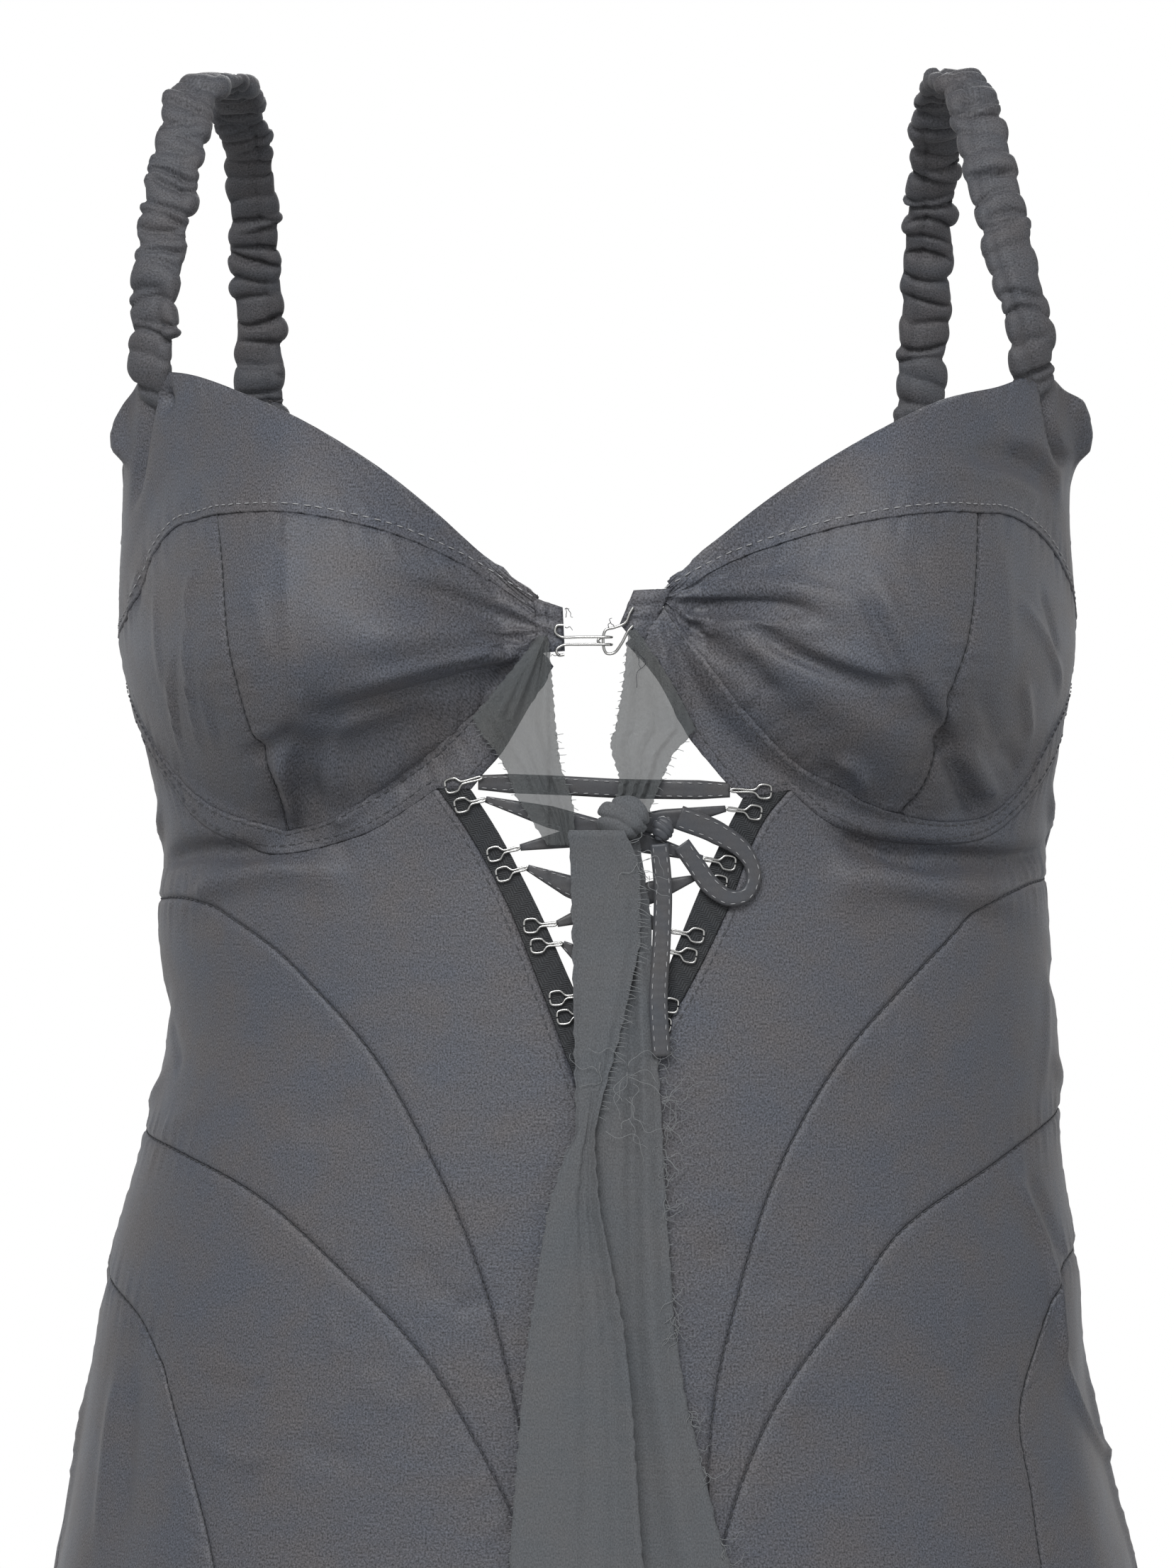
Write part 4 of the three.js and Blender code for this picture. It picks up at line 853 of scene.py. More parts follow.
def bead_row(points, out, draw, pitch, length=STITCH_LENGTH, radius=STITCH_RADIUS):
    """Stitches in mm along a line of points, flat on the cloth that faces out."""
    far = distances_along(points)
    at = np.arange(pitch * 0.6, far[-1] - pitch * 0.5, pitch)
    middle, ahead, facing = (
        np.stack([np.interp(where, far, values[:, k]) for k in range(3)], axis=1)
        for where, values in ((at, points), (at + STITCH_AHEAD, points), (at, out))
    )
    x = unit(ahead - middle)
    y = unit(np.cross(facing, x))
    x = unit(x + y * draw.uniform(-0.1, 0.1, (len(at), 1)))
    long = length * draw.uniform(0.9, 1.1, len(at))
    shape = BEAD[None] * np.stack([long, *[np.full(len(at), 2 * radius)] * 2], axis=1)[:, None]
    turned = shape[..., :1] * x[:, None] + shape[..., 1:2] * y[:, None]
    turned = turned + shape[..., 2:] * unit(facing)[:, None]
    return middle[:, None] + turned


def joined_mesh(name, vertices, faces, paint):
    mesh = bpy.data.meshes.new(name)
    mesh.from_pydata((vertices.reshape(-1, 3) * MM).tolist(), [], faces)
    mesh.polygons.foreach_set("use_smooth", [True] * len(faces))
    mesh.materials.append(paint)
    return new_object(name, mesh)


def bead_object(name, rows, paint):
    beads = np.concatenate(rows)
    faces = [[v + k * len(BEAD) for v in face] for k in range(len(beads)) for face in BEAD_FACES]
    return joined_mesh(name, beads, faces, paint)


def stitching(name, lines, lift=0.2, pitch=3.5, seed=0, paint=thread_paint):
    """Rows of stitches on the dress. Each of lines is a seam's stations on the flat cloth."""
    draw = np.random.default_rng(seed)
    rows = []
    for stations in lines:
        flat = resample(stations, np.linspace(0, 1, 4 * len(stations)))
        out = body_normal(flat[:, 0] / TURN_MM, flat[:, 1])
        points = body_point(flat[:, 0] / TURN_MM, flat[:, 1]) + out * (crease_height(flat) + lift)[:, None]
        rows.append(bead_row(points, out, draw, pitch))
    return place(bead_object(name, rows, paint), "satin")


for hand, seams in SEAMS.items():
    band_seam = joined(seams.seam_side, seams.seam_front)
    stitching(f"thread_band_{hand}", [beside(band_seam, 1.5 * UP[hand])], lift=0.3, pitch=3.9, seed=41,
              paint=light_thread_paint)
    stitching(f"thread_dart_{hand}", [seams.dart], lift=-0.5, pitch=3.3, seed=42)

# Wire casings: a doubled strip of the satin that holds the cup's wire. It is stitched round the foot of
# the cup, and towards the middle it leaves the body and runs up free to the tab.
for hand, seams in SEAMS.items():
    wire_seam = joined(seams.wire_side, seams.wire_front)
    foot = joined(seams.under, seams.free)
    casing = panel(f"satin_casing_{hand}", beside(wire_seam, LAP * UP[hand]), beside(foot, -0.9 * UP[hand]),
                   size=(170, 18), lift=0.45, material=satin_paint, seed=5, pucker=0.25,
                   sink=(0.9, 0.9, 0.7, 0.5))
    place(casing, "satin", f"wire_casing_{hand}")
    stitching(f"thread_casing_{hand}", [beside(wire_seam, -0.2 * UP[hand]), beside(foot, 1.6 * UP[hand])],
              lift=0.55, pitch=3.4, seed=43)

# Body and skirt: four gores on each side of the front, cut in curves that cross the hip, and four
# panels at the back, cut low. All are single satin with stitched seams.
for hand, seams in SEAMS.items():
    centre = panel(f"satin_centre_gore_{hand}", joined(seams.under, seams.window, seams.centre),
                   joined(seams.petal_top, seams.petal_end, seams.joint), size=(200, 50),
                   material=satin_paint, seed=7)
    middle = panel(f"satin_middle_gore_{hand}", seams.petal_top, seams.petal_under, size=(150, 44),
                   material=satin_paint, seed=9)
    lower = panel(f"satin_lower_gore_{hand}", joined(seams.petal_under, seams.joint),
                  joined(seams.hip_top, seams.hip_front, seams.hip_end), size=(170, 40),
                  material=satin_paint, seed=11)
    hip = panel(f"satin_hip_gore_{hand}", seams.side, joined(seams.hip_front, seams.hip_end),
                start=seams.hip_top, size=(120, 56), material=satin_paint, seed=13)
    for part, piece in (("centre", centre), ("middle", middle), ("lower", lower), ("hip", hip)):
        place(piece, "satin", f"{part}_gore_{hand}")
    seam_lines = [seams.petal_top, seams.petal_under, seams.joint]
    seam_lines += [joined(seams.hip_top, seams.hip_front, seams.hip_end), seams.side]
    stitching(f"thread_gores_{hand}", seam_lines, lift=-0.62, pitch=3.1, seed=44)
    stitching(f"thread_window_{hand}", [beside(seams.window, -1.9 * UP[hand])], lift=0.1, pitch=3.4, seed=45)
stitching("thread_centre_seam", [SEAMS["left"].centre], lift=-0.62, pitch=3.1, seed=46)

# The back laps under the front by a millimetre or so at both sides
SIDE_LAP = 0.6
BACK_EDGE = [
    at_turn(90 - SIDE_LAP, SIDE_Z["armhole"]), at_turn(106, -182), at_turn(124, -204), at_turn(138, -212),
    at_turn(150, -245), at_turn(166, -312), at_turn(180, -336), at_turn(194, -312), at_turn(210, -245),
    at_turn(222, -212), at_turn(236, -204), at_turn(254, -182),
    at_turn(270 + SIDE_LAP, SIDE_Z["armhole"]),
]
BACK_STEPS = 8 * FINER
back_top = line(BACK_EDGE, 4 * BACK_STEPS)
back_hem = line([at_turn(90 - SIDE_LAP, HEM_Z), at_turn(270 + SIDE_LAP, HEM_Z)], 4 * BACK_STEPS)
back_seams = []
for i, part in enumerate(("side_right", "right", "left", "side_left")):
    stations = slice(i * BACK_STEPS, (i + 1) * BACK_STEPS + 1)
    top, hem = back_top[stations], back_hem[stations]
    back = panel(f"satin_back_{part}", top, hem, size=(66, 116), material=satin_paint, seed=15 + i,
                 sink=(1.3 if i == 0 else 0.9, 1.3 if i == 3 else 0.9, 0.5, 0.4))
    place(back, "satin", f"back_{part}")
    back_seams.append(np.linspace(top[-1], hem[-1], 200))
stitching("thread_back", back_seams[:3], lift=-0.62, pitch=3.1, seed=47)
stitching("thread_back_edge", [beside(back_top, -6)], lift=0.12, pitch=3.6, seed=48)

# Window tapes: a dark herringbone tape down each edge of the laced window. It is stitched behind the
# satin, shows as a narrow border, and carries the hooks.
HERRINGBONE_ROW = 1.6
HERRINGBONE_PITCH = 0.9
TAPE_TILTS = {"left": 27, "right": -27}


def herringbone_paint(name, tilt):
    """Twill whose diagonal turns back every row. tilt is how far the tape leans, in degrees."""
    made = cloth_paint(name, (0.026, 0.029, 0.033), (0.034, 0.035, 0.037), 0.8, 0.3, 0.2, 0.1, 0.05)
    tree = made.node_tree
    shader = tree.nodes["Principled BSDF"]
    plain_colour, plain_normal = (
        shader.inputs[name].links[0].from_socket for name in ("Base Color", "Normal")
    )
    uv = node(tree, "ShaderNodeUVMap", uv_map="cloth").outputs[0]
    lean = node(tree, "ShaderNodeMapping", Vector=uv, Rotation=(0, 0, math.radians(tilt)))
    split = node(tree, "ShaderNodeSeparateXYZ", Vector=lean.outputs[0])
    row = arithmetic(tree, "PINGPONG", split.outputs["X"], HERRINGBONE_ROW * MM)
    slope = arithmetic(tree, "ADD", row, split.outputs["Y"])
    cycles = arithmetic(tree, "MULTIPLY", slope, 2 * math.pi / (HERRINGBONE_PITCH * MM))
    wave = arithmetic(tree, "SINE", cycles)
    rib = node(tree, "ShaderNodeBump", Height=wave, Normal=plain_normal, Strength=0.7, Distance=0.0003)
    tone = node(tree, "ShaderNodeMapRange", Value=wave, From_Min=-1, To_Min=0.7, To_Max=1.35)
    ribbed = node(tree, "ShaderNodeMix", data_type="RGBA", blend_type="MULTIPLY", Factor=1,
                  A=plain_colour, B=tone.outputs["Result"])
    set_up(tree, shader, Base_Color=ribbed.outputs["Result"], Normal=rib.outputs[0])
    return made


for hand, seams in SEAMS.items():
    tape_paint = herringbone_paint(f"tape_paint_{hand}", TAPE_TILTS[hand])
    tape = panel(f"twill_tape_{hand}", seams.window, seams.tape, size=(90, 14), sink=(0.3, 0.3, 0.3, 0.3),
                 pucker=0.1, thickness=1.0, material=tape_paint, seed=3)
    place(tape, "tape", f"tape_{hand}")

# Straps: a tube of satin ruched over elastic, with some fifty uneven gathers, sewn on at the corner of
# each cup. It goes over the shoulder to the back's edge.
STRAP_WIDTH = 16
STRAP_THICKNESS = 5
STRAP_WALL = 0.5
STRAP_LEFT = [
    (-146, -34, -112), (-147, -41, -99), (-146.8, -43, -84), (-144.5, -42, -65), (-142.5, -38, -46),
    (-139.6, -31, -27), (-136, -20, -8), (-130, -5, 1.8), (-124, 13, 2), (-121, 36, -8),
    (-119.5, 60, -32), (-118.5, 77, -70), (-117, 83, -120), (-115, 81, -165), (-113, 76, -209),
]
STRAP_RIGHT = [
    (147.5, -38, -114), (147, -46, -100.5), (146, -49, -84), (141, -46, -65), (136.5, -40, -46),
    (133, -31, -27), (129, -20, -8), (125, -5, 1.8), (122, 13, 2), (120.5, 36, -8),
    (119.5, 60, -32), (118.5, 77, -70), (117, 83, -120), (116, 82, -165), (115, 78, -209),
]
# Twist at the front end and at the back end: degrees, and the share of the strap that it takes
TWIST_FRONT, TWIST_BACK = (46, 0.2), (30, 0.25)
# Each puff's size is drawn between limits: half its length, its height, and the crease after it
PUFF_HALF, PUFF_HEIGHT = (1.4, 4.6), (1.1, 2.8)
PUFF_SLANT, PUFF_BOW, PUFF_SWAY = (-2.8, 2.8), (-1.8, 1.8), (-1.1, 1.1)
PINCH_DEPTH, PINCH_WIDTH = (1.4, 3.4), (0.7, 1.0)
# Reach past half its length, and the power that rounds it. The puffs run past both ends of the strap
PUFF_REACH, PUFF_POWER = 1.15, 0.52
PUFFS_PAST_END, SWAY_LENGTH = 3, 4
# The tube's own seam, as a shallow fold: its place across the width (0 is the middle and 1 the edge), how
# far it wanders and over what length, its depth and its width
SEAM_AT, SEAM_WANDER, SEAM_WAVE, SEAM_DEPTH, SEAM_WIDTH = 0.35, 0.12, 17, 1.3, 0.1
# Puffs are this much longer near the front end
LONG_PUFFS, LONG_PUFFS_TO = 1.25, 40
# The ends are narrower by a share, over a length
END_NARROWING, END_LENGTH = 0.32, 9
# Cut size of the tube's satin, all round and before it is gathered
STRAP_CUT = (40, 460)
strap_paint = cloth_paint("strap_paint", (0.052, 0.055, 0.063), (0.061, 0.058, 0.061), 0.6, 0.6, 0.06,
                          0.3, 0.04)


def ruching(draw, at, angle, length):
    """Heights of a tube's puffs and creases, and its sway, at distances along it and angles round it. The
    puffs differ in length and height, and the creases slant, wander and stop part way across."""
    puffs = np.zeros((len(at), len(angle)))
    creases = np.zeros_like(puffs)
    sway = np.zeros(len(at))
    start = -PUFFS_PAST_END
    while start < length + PUFFS_PAST_END:
        half = draw.uniform(*PUFF_HALF) * (LONG_PUFFS if start < LONG_PUFFS_TO else 1)
        middle = start + half
        slant, bow, turn = draw.uniform(*PUFF_SLANT), draw.uniform(*PUFF_BOW), draw.uniform(0, 2 * math.pi)
        path = middle + slant * np.cos(angle) + bow * np.cos(2 * angle + turn)
        strength = 1 + 0.5 * np.cos(angle - draw.uniform(0, 2 * math.pi))
        swell = draw.uniform(*PUFF_HEIGHT) * strength
        inside = np.clip(1 - ((at - path) / (PUFF_REACH * half)) ** 2, 0, 1)
        puffs = np.maximum(puffs, swell * inside**PUFF_POWER)
        pinch = draw.uniform(*PINCH_DEPTH) * (0.5 + 0.5 * np.cos(angle - draw.uniform(0, 2 * math.pi)))
        groove = np.exp(-(((at - path - half) / draw.uniform(*PINCH_WIDTH)) ** 2))
        creases = np.maximum(creases, pinch * groove)
        sway += draw.uniform(*PUFF_SWAY) * np.exp(-(((at[:, 0] - middle) / SWAY_LENGTH) ** 2))
        start += 2 * half
    return puffs, creases, sway


def ruched_tube(name, middle, hand, seed, rings=500, sides=32):
    """A flat tube along a line, twisted at both ends."""
    draw = np.random.default_rng(seed)
    centre = smooth_line(middle, rings)
    along = unit(np.gradient(centre, axis=0))
    length = np.linalg.norm(np.diff(centre, axis=0), axis=1).sum()
    s = np.linspace(0, 1, rings + 1)
    front_twist = TWIST_FRONT[0] * np.maximum(0, 1 - s / TWIST_FRONT[1])
    back_twist = TWIST_BACK[0] * np.maximum(0, 1 - (1 - s) / TWIST_BACK[1])
    twist = np.radians(hand * (front_twist - back_twist))
    across = np.stack([np.cos(twist), np.sin(twist), np.zeros_like(s)], axis=1)
    across = unit(across - (across * along).sum(axis=1)[:, None] * along)
    out = np.cross(across, along)
    angle = np.linspace(0, 2 * math.pi, sides, endpoint=False)
    cosine, sine = np.cos(angle), np.sin(angle)
    at = s[:, None] * length
    puffs, creases, sway = ruching(draw, at, angle, length)
    seam_at = -hand * (SEAM_AT + SEAM_WANDER * np.sin(at / SEAM_WAVE + seed))
    seam = SEAM_DEPTH * np.exp(-(((cosine - seam_at) / SEAM_WIDTH) ** 2))
    creases = creases + seam * np.clip(at / 15, 0, 1)
    ends = np.minimum(at, length - at)
    narrow = 1 - END_NARROWING * np.exp(-((ends / END_LENGTH) ** 2))
    wide = np.sign(cosine) * np.abs(cosine) ** 0.8 * STRAP_WIDTH / 2 * 0.96
    thick = np.sign(sine) * np.abs(sine) ** 0.7 * STRAP_THICKNESS / 2 * 0.8
    section = unit(np.stack([cosine / STRAP_WIDTH, sine / STRAP_THICKNESS], axis=1))
    wide = narrow * (wide + puffs * 0.62 * section[:, 0]) + (sway * (ends[:, 0] > 6))[:, None]
    thick = narrow * (thick + (puffs * 0.85 - creases) * section[:, 1])
    points = centre[:, None] + wide[..., None] * across[:, None] + thick[..., None] * out[:, None]
    bm = bmesh.new()
    bmesh.ops.create_grid(bm, x_segments=sides, y_segments=rings, size=0.5, calc_uvs=False)
    layer = bm.loops.layers.uv.new("cloth")
    for face in bm.faces:
        face.smooth = True
        for loop in face.loops:
            u, v = loop.vert.co[0] + 0.5, loop.vert.co[1] + 0.5
            loop[layer].uv = (u * STRAP_CUT[0] * MM, v * STRAP_CUT[1] * MM)
    for vertex in bm.verts:
        k = round((vertex.co[0] + 0.5) * sides) % sides
        i = round((vertex.co[1] + 0.5) * rings)
        vertex.co = Vector(points[i, k]) * MM
    bmesh.ops.remove_doubles(bm, verts=bm.verts, dist=1e-7)
    bmesh.ops.recalc_face_normals(bm, faces=bm.faces)
    return walled(built(name, bm, strap_paint), STRAP_WALL)


for hand, middle, turn, seed in (("left", STRAP_LEFT, -1, 11), ("right", STRAP_RIGHT, 1, 23)):
    strap = ruched_tube(f"ruched_strap_{hand}", middle, turn, seed)
    place(strap, "satin", f"strap_{hand}")

# Tabs: small doubled ends of satin at the middle of the bust, one on each cup. The clasp is sewn to them.
# Each has its top edge, then its bottom edge.
TABS = {
    "left": ([(-18.8, -177.5), (-9.5, -180.6)], [(-18, -195.6), (-8.8, -194.8)]),
    "right": ([(13.5, -175), (26, -174.5)], [(9, -186), (15.5, -194.5)]),
}
for hand, (top, bottom) in TABS.items():
    tab = panel(f"satin_tab_{hand}", line(top, 12), line(bottom, 12), size=(20, 26), lift=1.1,
                sink=(0.6, 0.6, 0.6, 0.6), thickness=2.0, material=satin_paint, seed=19)
    place(tab, "satin", f"tab_{hand}")

# Clasp and lacing hooks: bent steel wire, sewn on by their loops. The clasp's hook holds its eye, and the
# arms of the lacing hooks reach in from the tapes to hold the lace. Wires are given by radius.
CLASP_WIRE = 0.5
HOOK_WIRE = 0.4
HOOK_LIFT = 1.1
# Half of a lacing hook's sewing loop, along and beside its arm. Then how far short of the tip the arm
# starts to close, and half its width
HOOK_LOOP = [(-2.5, 0.3), (-2.1, 1.9), (1.2, 2.1), (2.1, 1.2), (2.9, 0.5)]
ARM_TIP, ARM_HALF = 0.7, 0.42
# The clasp's wires: x, z, height over the dress
CLASP_HOOK = [
    (-9.2, -186.4, 1.9), (-11.4, -186.6, 1.9), (-12, -188.6, 1.9), (-10, -190.2, 1.9),
    (-4, -190.3, 2.4), (2.5, -190.3, 3.2), (5.4, -190.3, 2.9), (6.4, -190.3, 1.4),
    (5, -190.3, 0), (2.8, -190.5, -0.3), (1.9, -191.5, -0.3), (2.8, -192.5, -0.3),
    (5, -192.7, 0), (6.4, -192.7, 1.4), (5.4, -192.7, 2.9), (2.5, -192.7, 3.2),
    (-4, -192.7, 2.4), (-9.6, -193, 1.9), (-11.6, -194.6, 1.9), (-10.8, -196.2, 1.9), (-9, -196, 1.9),
]
CLASP_EYE = [
    (13.4, -180.6, 1.9), (12.2, -182.6, 1.9), (10.8, -185.6, 1.9), (7.2, -187.2, 1.6),
    (4.6, -187.9, 1.4), (3.8, -189.4, 1.4), (3.8, -193.8, 1.4), (4.8, -195.6, 1.4),
    (7.2, -195.4, 1.5), (9.6, -192.4, 1.8), (11.6, -188.6, 1.9), (13.2, -186.6, 1.9),
]
# Lacing hooks from the top: the middle of the sewing loop, and the tip of the arm
HOOKS = {
    "left": [
        (-45.3, -238.4, -35.6, -235.8), (-42.2, -244.8, -34.6, -243), (-31.5, -260.7, -23.4, -258.7),
        (-28.6, -267.2, -21, -265.2), (-19.6, -284, -11.4, -283.5), (-17.4, -290.5, -9.5, -289.8),
        (-11.2, -307.4, -3, -306.5), (-8.8, -313.5, 0.6, -312.4),
    ],
    "right": [
        (55.9, -240.4, 45, -240), (52.7, -247.2, 43.6, -246), (44.2, -263.6, 36, -262.3),
        (41.3, -270, 33.2, -268.6), (33.8, -287.1, 25.4, -285.8), (31.4, -293.6, 23.4, -292),
        (25.4, -309.8, 17.4, -308.6), (23, -316, 14.6, -315),
    ],
}
steel_paint = new_paint("steel_paint", Metallic=1, Base_Color=(0.4, 0.4, 0.39, 1))
steel = steel_paint.node_tree
where = node(steel, "ShaderNodeTexCoord")
scratches = node(steel, "ShaderNodeTexNoise", Vector=where.outputs["Object"], Scale=900, Detail=4)
wear = node(steel, "ShaderNodeMapRange", Value=scratches.outputs["Fac"], To_Min=0.16, To_Max=0.36)
set_up(steel, steel.nodes["Principled BSDF"], Roughness=wear.outputs["Result"])


def round_tube(name, points, radius, steps, material, sides):
    """A round wire along a smooth line of points in mm."""
    path = smooth_line(points, steps)
    curve = bpy.data.curves.new(name, "CURVE")
    curve.dimensions = "3D"
    curve.bevel_depth = radius * MM
    curve.bevel_resolution = max(0, sides // 4 - 1)
    curve.use_fill_caps = True
    spline = curve.splines.new("POLY")
    spline.points.add(len(path) - 1)
    for point, at in zip(spline.points, path):
        point.co = (*(at * MM), 1)
    bent = new_object(name, curve)
    bpy.context.view_layer.update()
    mesh = bpy.data.meshes.new_from_object(bent.evaluated_get(bpy.context.evaluated_depsgraph_get()))
    bpy.data.objects.remove(bent)
    mesh.name = name
    mesh.materials.clear()
    mesh.materials.append(material)
    for face in mesh.polygons:
        face.use_smooth = True
    return new_object(name, mesh)


def laid(points):
    return [over(x, z, lift) for x, z, lift in points]


for part, route, steps in (("hook", CLASP_HOOK, 160), ("eye", CLASP_EYE, 100)):
    wire = round_tube(f"clasp_{part}_wire", laid(route), CLASP_WIRE, steps, steel_paint, sides=10)
    place(wire, "wire", f"clasp_{part}")
for hand, hooks in HOOKS.items():
    for i, (x, z, tip_x, tip_z) in enumerate(hooks, 1):
        reach = math.hypot(tip_x - x, tip_z - z)
        ux, uz = (tip_x - x) / reach, (tip_z - z) / reach
        half = [*HOOK_LOOP, (reach - ARM_TIP, ARM_HALF)]
        outline = [*half, (reach, 0), *((a, -b) for a, b in reversed(half))]
        route = [over(x + a * ux - b * uz, z + a * uz + b * ux, HOOK_LIFT) for a, b in outline]
        hook = round_tube(f"hook_wire_{hand}_{i}", route, HOOK_WIRE, 60, steel_paint, sides=8)
        place(hook, "wire", f"lacing_hook_{hand}_{i}")

# Lace: one narrow ribbon of stitched satin, straight across the top and bottom hooks and crossed
# between the other pairs, tied in a bow loop on the right with one end hanging.
LACE_WIDTH = 6
RIBBON = 0.8
FRONT_LACE, REAR_LACE = 0.3, -1.2
LACE_KNOT = {"x": 23, "z": -252.5, "width": 7, "height": 8, "depth": 4, "lift": 3.4}
BOW_LIFT = 2.8
BOW_LOOP = [
    (28.2, -248.8), (40, -253.5), (49.5, -260), (52.8, -267.5), (50.3, -273.8), (44.6, -275),
    (38.6, -271), (33.5, -264), (29, -257.6),
]
LACE_END_LIFT = 4.5
LACE_END = [(21.8, -257.4), (23, -272), (22.5, -290), (21.5, -308), (22.5, -326)]
# Widths of the bow along its loop, at shares of the loop's length
BOW_WIDTHS = ((0, 0.2, 0.42, 0.55, 0.75, 1), (8, 7.6, 5, 4.4, 6.4, 6))
# The ribbon's hems: where they are stitched and how far they roll back, as shares of its width
HEM_AT, HEM_ROLL = 0.16, 0.1
ribbon_paint = cloth_paint("ribbon_paint", (0.045, 0.049, 0.057), (0.055, 0.053, 0.054), 0.4, 0.12, 0.3,
                           0.2, 0.1)


def strip(name, left, right, lift, material, steps, across, thickness, relief):
    """A strip of cloth in front of the dress, between a left and a right edge of (x, z) points."""
    s = np.linspace(0, 1, steps + 1)
    rows = np.linspace(0, 1, len(left))
    left, right = np.array(left, float), np.array(right, float)
    v = np.linspace(0, 1, across + 1)[None, :, None]
    a = np.stack([np.interp(s, rows, left[:, k]) for k in range(2)], axis=1)[:, None]
    b = np.stack([np.interp(s, rows, right[:, k]) for k in range(2)], axis=1)[:, None]
    flat = a * (1 - v) + b * v
    out = np.interp(s, rows, lift)[:, None] + relief(s[:, None], v[:, :, 0], flat)
    points = over(flat[..., 0], flat[..., 1], out)
    middle = points[steps // 2, across // 2]
    return shell_object(name, points, flat, (middle, (0, -1, 0)), material, thickness)


def ribbon_edges(points, steps, width_at):
    """Left and right edges of a flat ribbon along a line of (x, z) points."""
    path = smooth_line(points, steps)
    along = unit(np.gradient(path, axis=0))
    half = np.array([width_at(i / steps) / 2 for i in range(steps + 1)])[:, None]
    side = np.stack([along[:, 1], -along[:, 0]], axis=1)
    return path + side * half, path - side * half


def drawn_in(s):
    """The width of a ribbon that the hooks at both ends squeeze, at a share of its length."""
    return LACE_WIDTH * (0.36 + 0.84 * min(1, 3.4 * min(s, 1 - s)))


def barely_drawn_in(s):
    return LACE_WIDTH * (0.8 + 0.25 * min(1, 8 * min(s, 1 - s)))


def bow_width(s):
    return np.interp(s, *BOW_WIDTHS)


ribbon_draw = np.random.default_rng(81)
ribbon_rows = []


def ribbon_piece(name, points, steps, lift, node_name, width_at):
    left, right = ribbon_edges(points, steps, width_at)
    edges = (left * (1 - HEM_AT) + right * HEM_AT, right * (1 - HEM_AT) + left * HEM_AT)
    for edge in edges if lift > 0 else ():
        stitched = over(edge[:, 0], edge[:, 1], lift + 0.12)
        toward = np.tile((0, -1, 0), (len(edge), 1))
        ribbon_rows.append(bead_row(stitched, toward, ribbon_draw, 3.4, length=1.9, radius=0.17))
    piece = strip(name, left, right, np.full(len(left), lift), ribbon_paint, steps, 8, RIBBON,
                  relief=lambda s, v, flat: -0.5 * np.exp(-((np.minimum(v, 1 - v) / HEM_ROLL) ** 2)))
    place(piece, "ribbon", node_name)


def tip(hand, i):
    return HOOKS[hand][i][2:]


top_lace = [(-37, -237.5), (-10, -238.5), (10, -239.5), tip("right", 0)]
ribbon_piece("ribbon_top", top_lace, 80, FRONT_LACE, "lace_top", barely_drawn_in)
for i in (1, 3, 5):
    ribbon_piece(f"ribbon_falling_{i}", [tip("left", i), tip("right", i + 1)], 60, FRONT_LACE,
                 f"lace_falling_{i}", drawn_in)
    ribbon_piece(f"ribbon_rising_{i}", [tip("left", i + 1), tip("right", i)], 60, REAR_LACE,
                 f"lace_rising_{i}", drawn_in)
ribbon_piece("ribbon_bottom", [tip("left", 7), tip("right", 7)], 20, FRONT_LACE, "lace_bottom", drawn_in)
ribbon_piece("ribbon_bow", BOW_LOOP, 110, BOW_LIFT, "lace_bow", bow_width)
ribbon_piece("ribbon_end", LACE_END, 80, LACE_END_LIFT, "lace_end", lambda s: LACE_WIDTH)
place(bead_object("thread_ribbon", ribbon_rows, light_thread_paint), "ribbon")


def knot(name, at, material, wraps, seed):
    """A pulled knot: a rounded lump with the turns of the cloth wound round it."""
    bm = bmesh.new()
    bmesh.ops.create_uvsphere(bm, u_segments=64, v_segments=40, radius=0.5)
    middle = over(at["x"], at["z"], at["lift"])
    layer = bm.loops.layers.uv.new("cloth")
    for vertex in bm.verts:
        x, y, z = vertex.co
        swell = 1.05 - 0.2 * (1 - abs(math.sin(wraps * (1.5 * z + x + 1.1 * x * x) + seed))) ** 3
        swell += 0.05 * math.sin(7 * x - 5 * z + 6 * y + 2 * seed)
        vertex.co = Vector((x * at["width"], y * at["depth"], z * at["height"])) * swell
        vertex.co = (Vector(middle) + vertex.co) * MM
    for face in bm.faces:
        face.smooth = True
        for loop in face.loops:
            loop[layer].uv = (loop.vert.co.x, loop.vert.co.z)
    return built(name, bm, material)


place(knot("ribbon_knot", LACE_KNOT, ribbon_paint, 6, 1), "ribbon", "lace_knot")

# Scarf: torn strips of thin chiffon, caught in the tabs' seams at the top and knotted in front of the
# lacing. Two long frayed tails hang from the knot.
CHIFFON = 0.5
chiffon_paint = cloth_paint("chiffon_paint", (0.075, 0.081, 0.088), (0.083, 0.085, 0.089), 0.9, 0.35, 0.25,
                            0.35, 0.1, pitch=0.6)
sheer_paint = cloth_paint("sheer_paint", (0.082, 0.089, 0.093), (0.09, 0.093, 0.093), 0.9, 0.35, 0.25,
                          0.35, 0.1, pitch=0.6)
# How much of the light one wall of a single layer holds back
set_up(sheer_paint.node_tree, sheer_paint.node_tree.nodes["Principled BSDF"], Alpha=0.6)
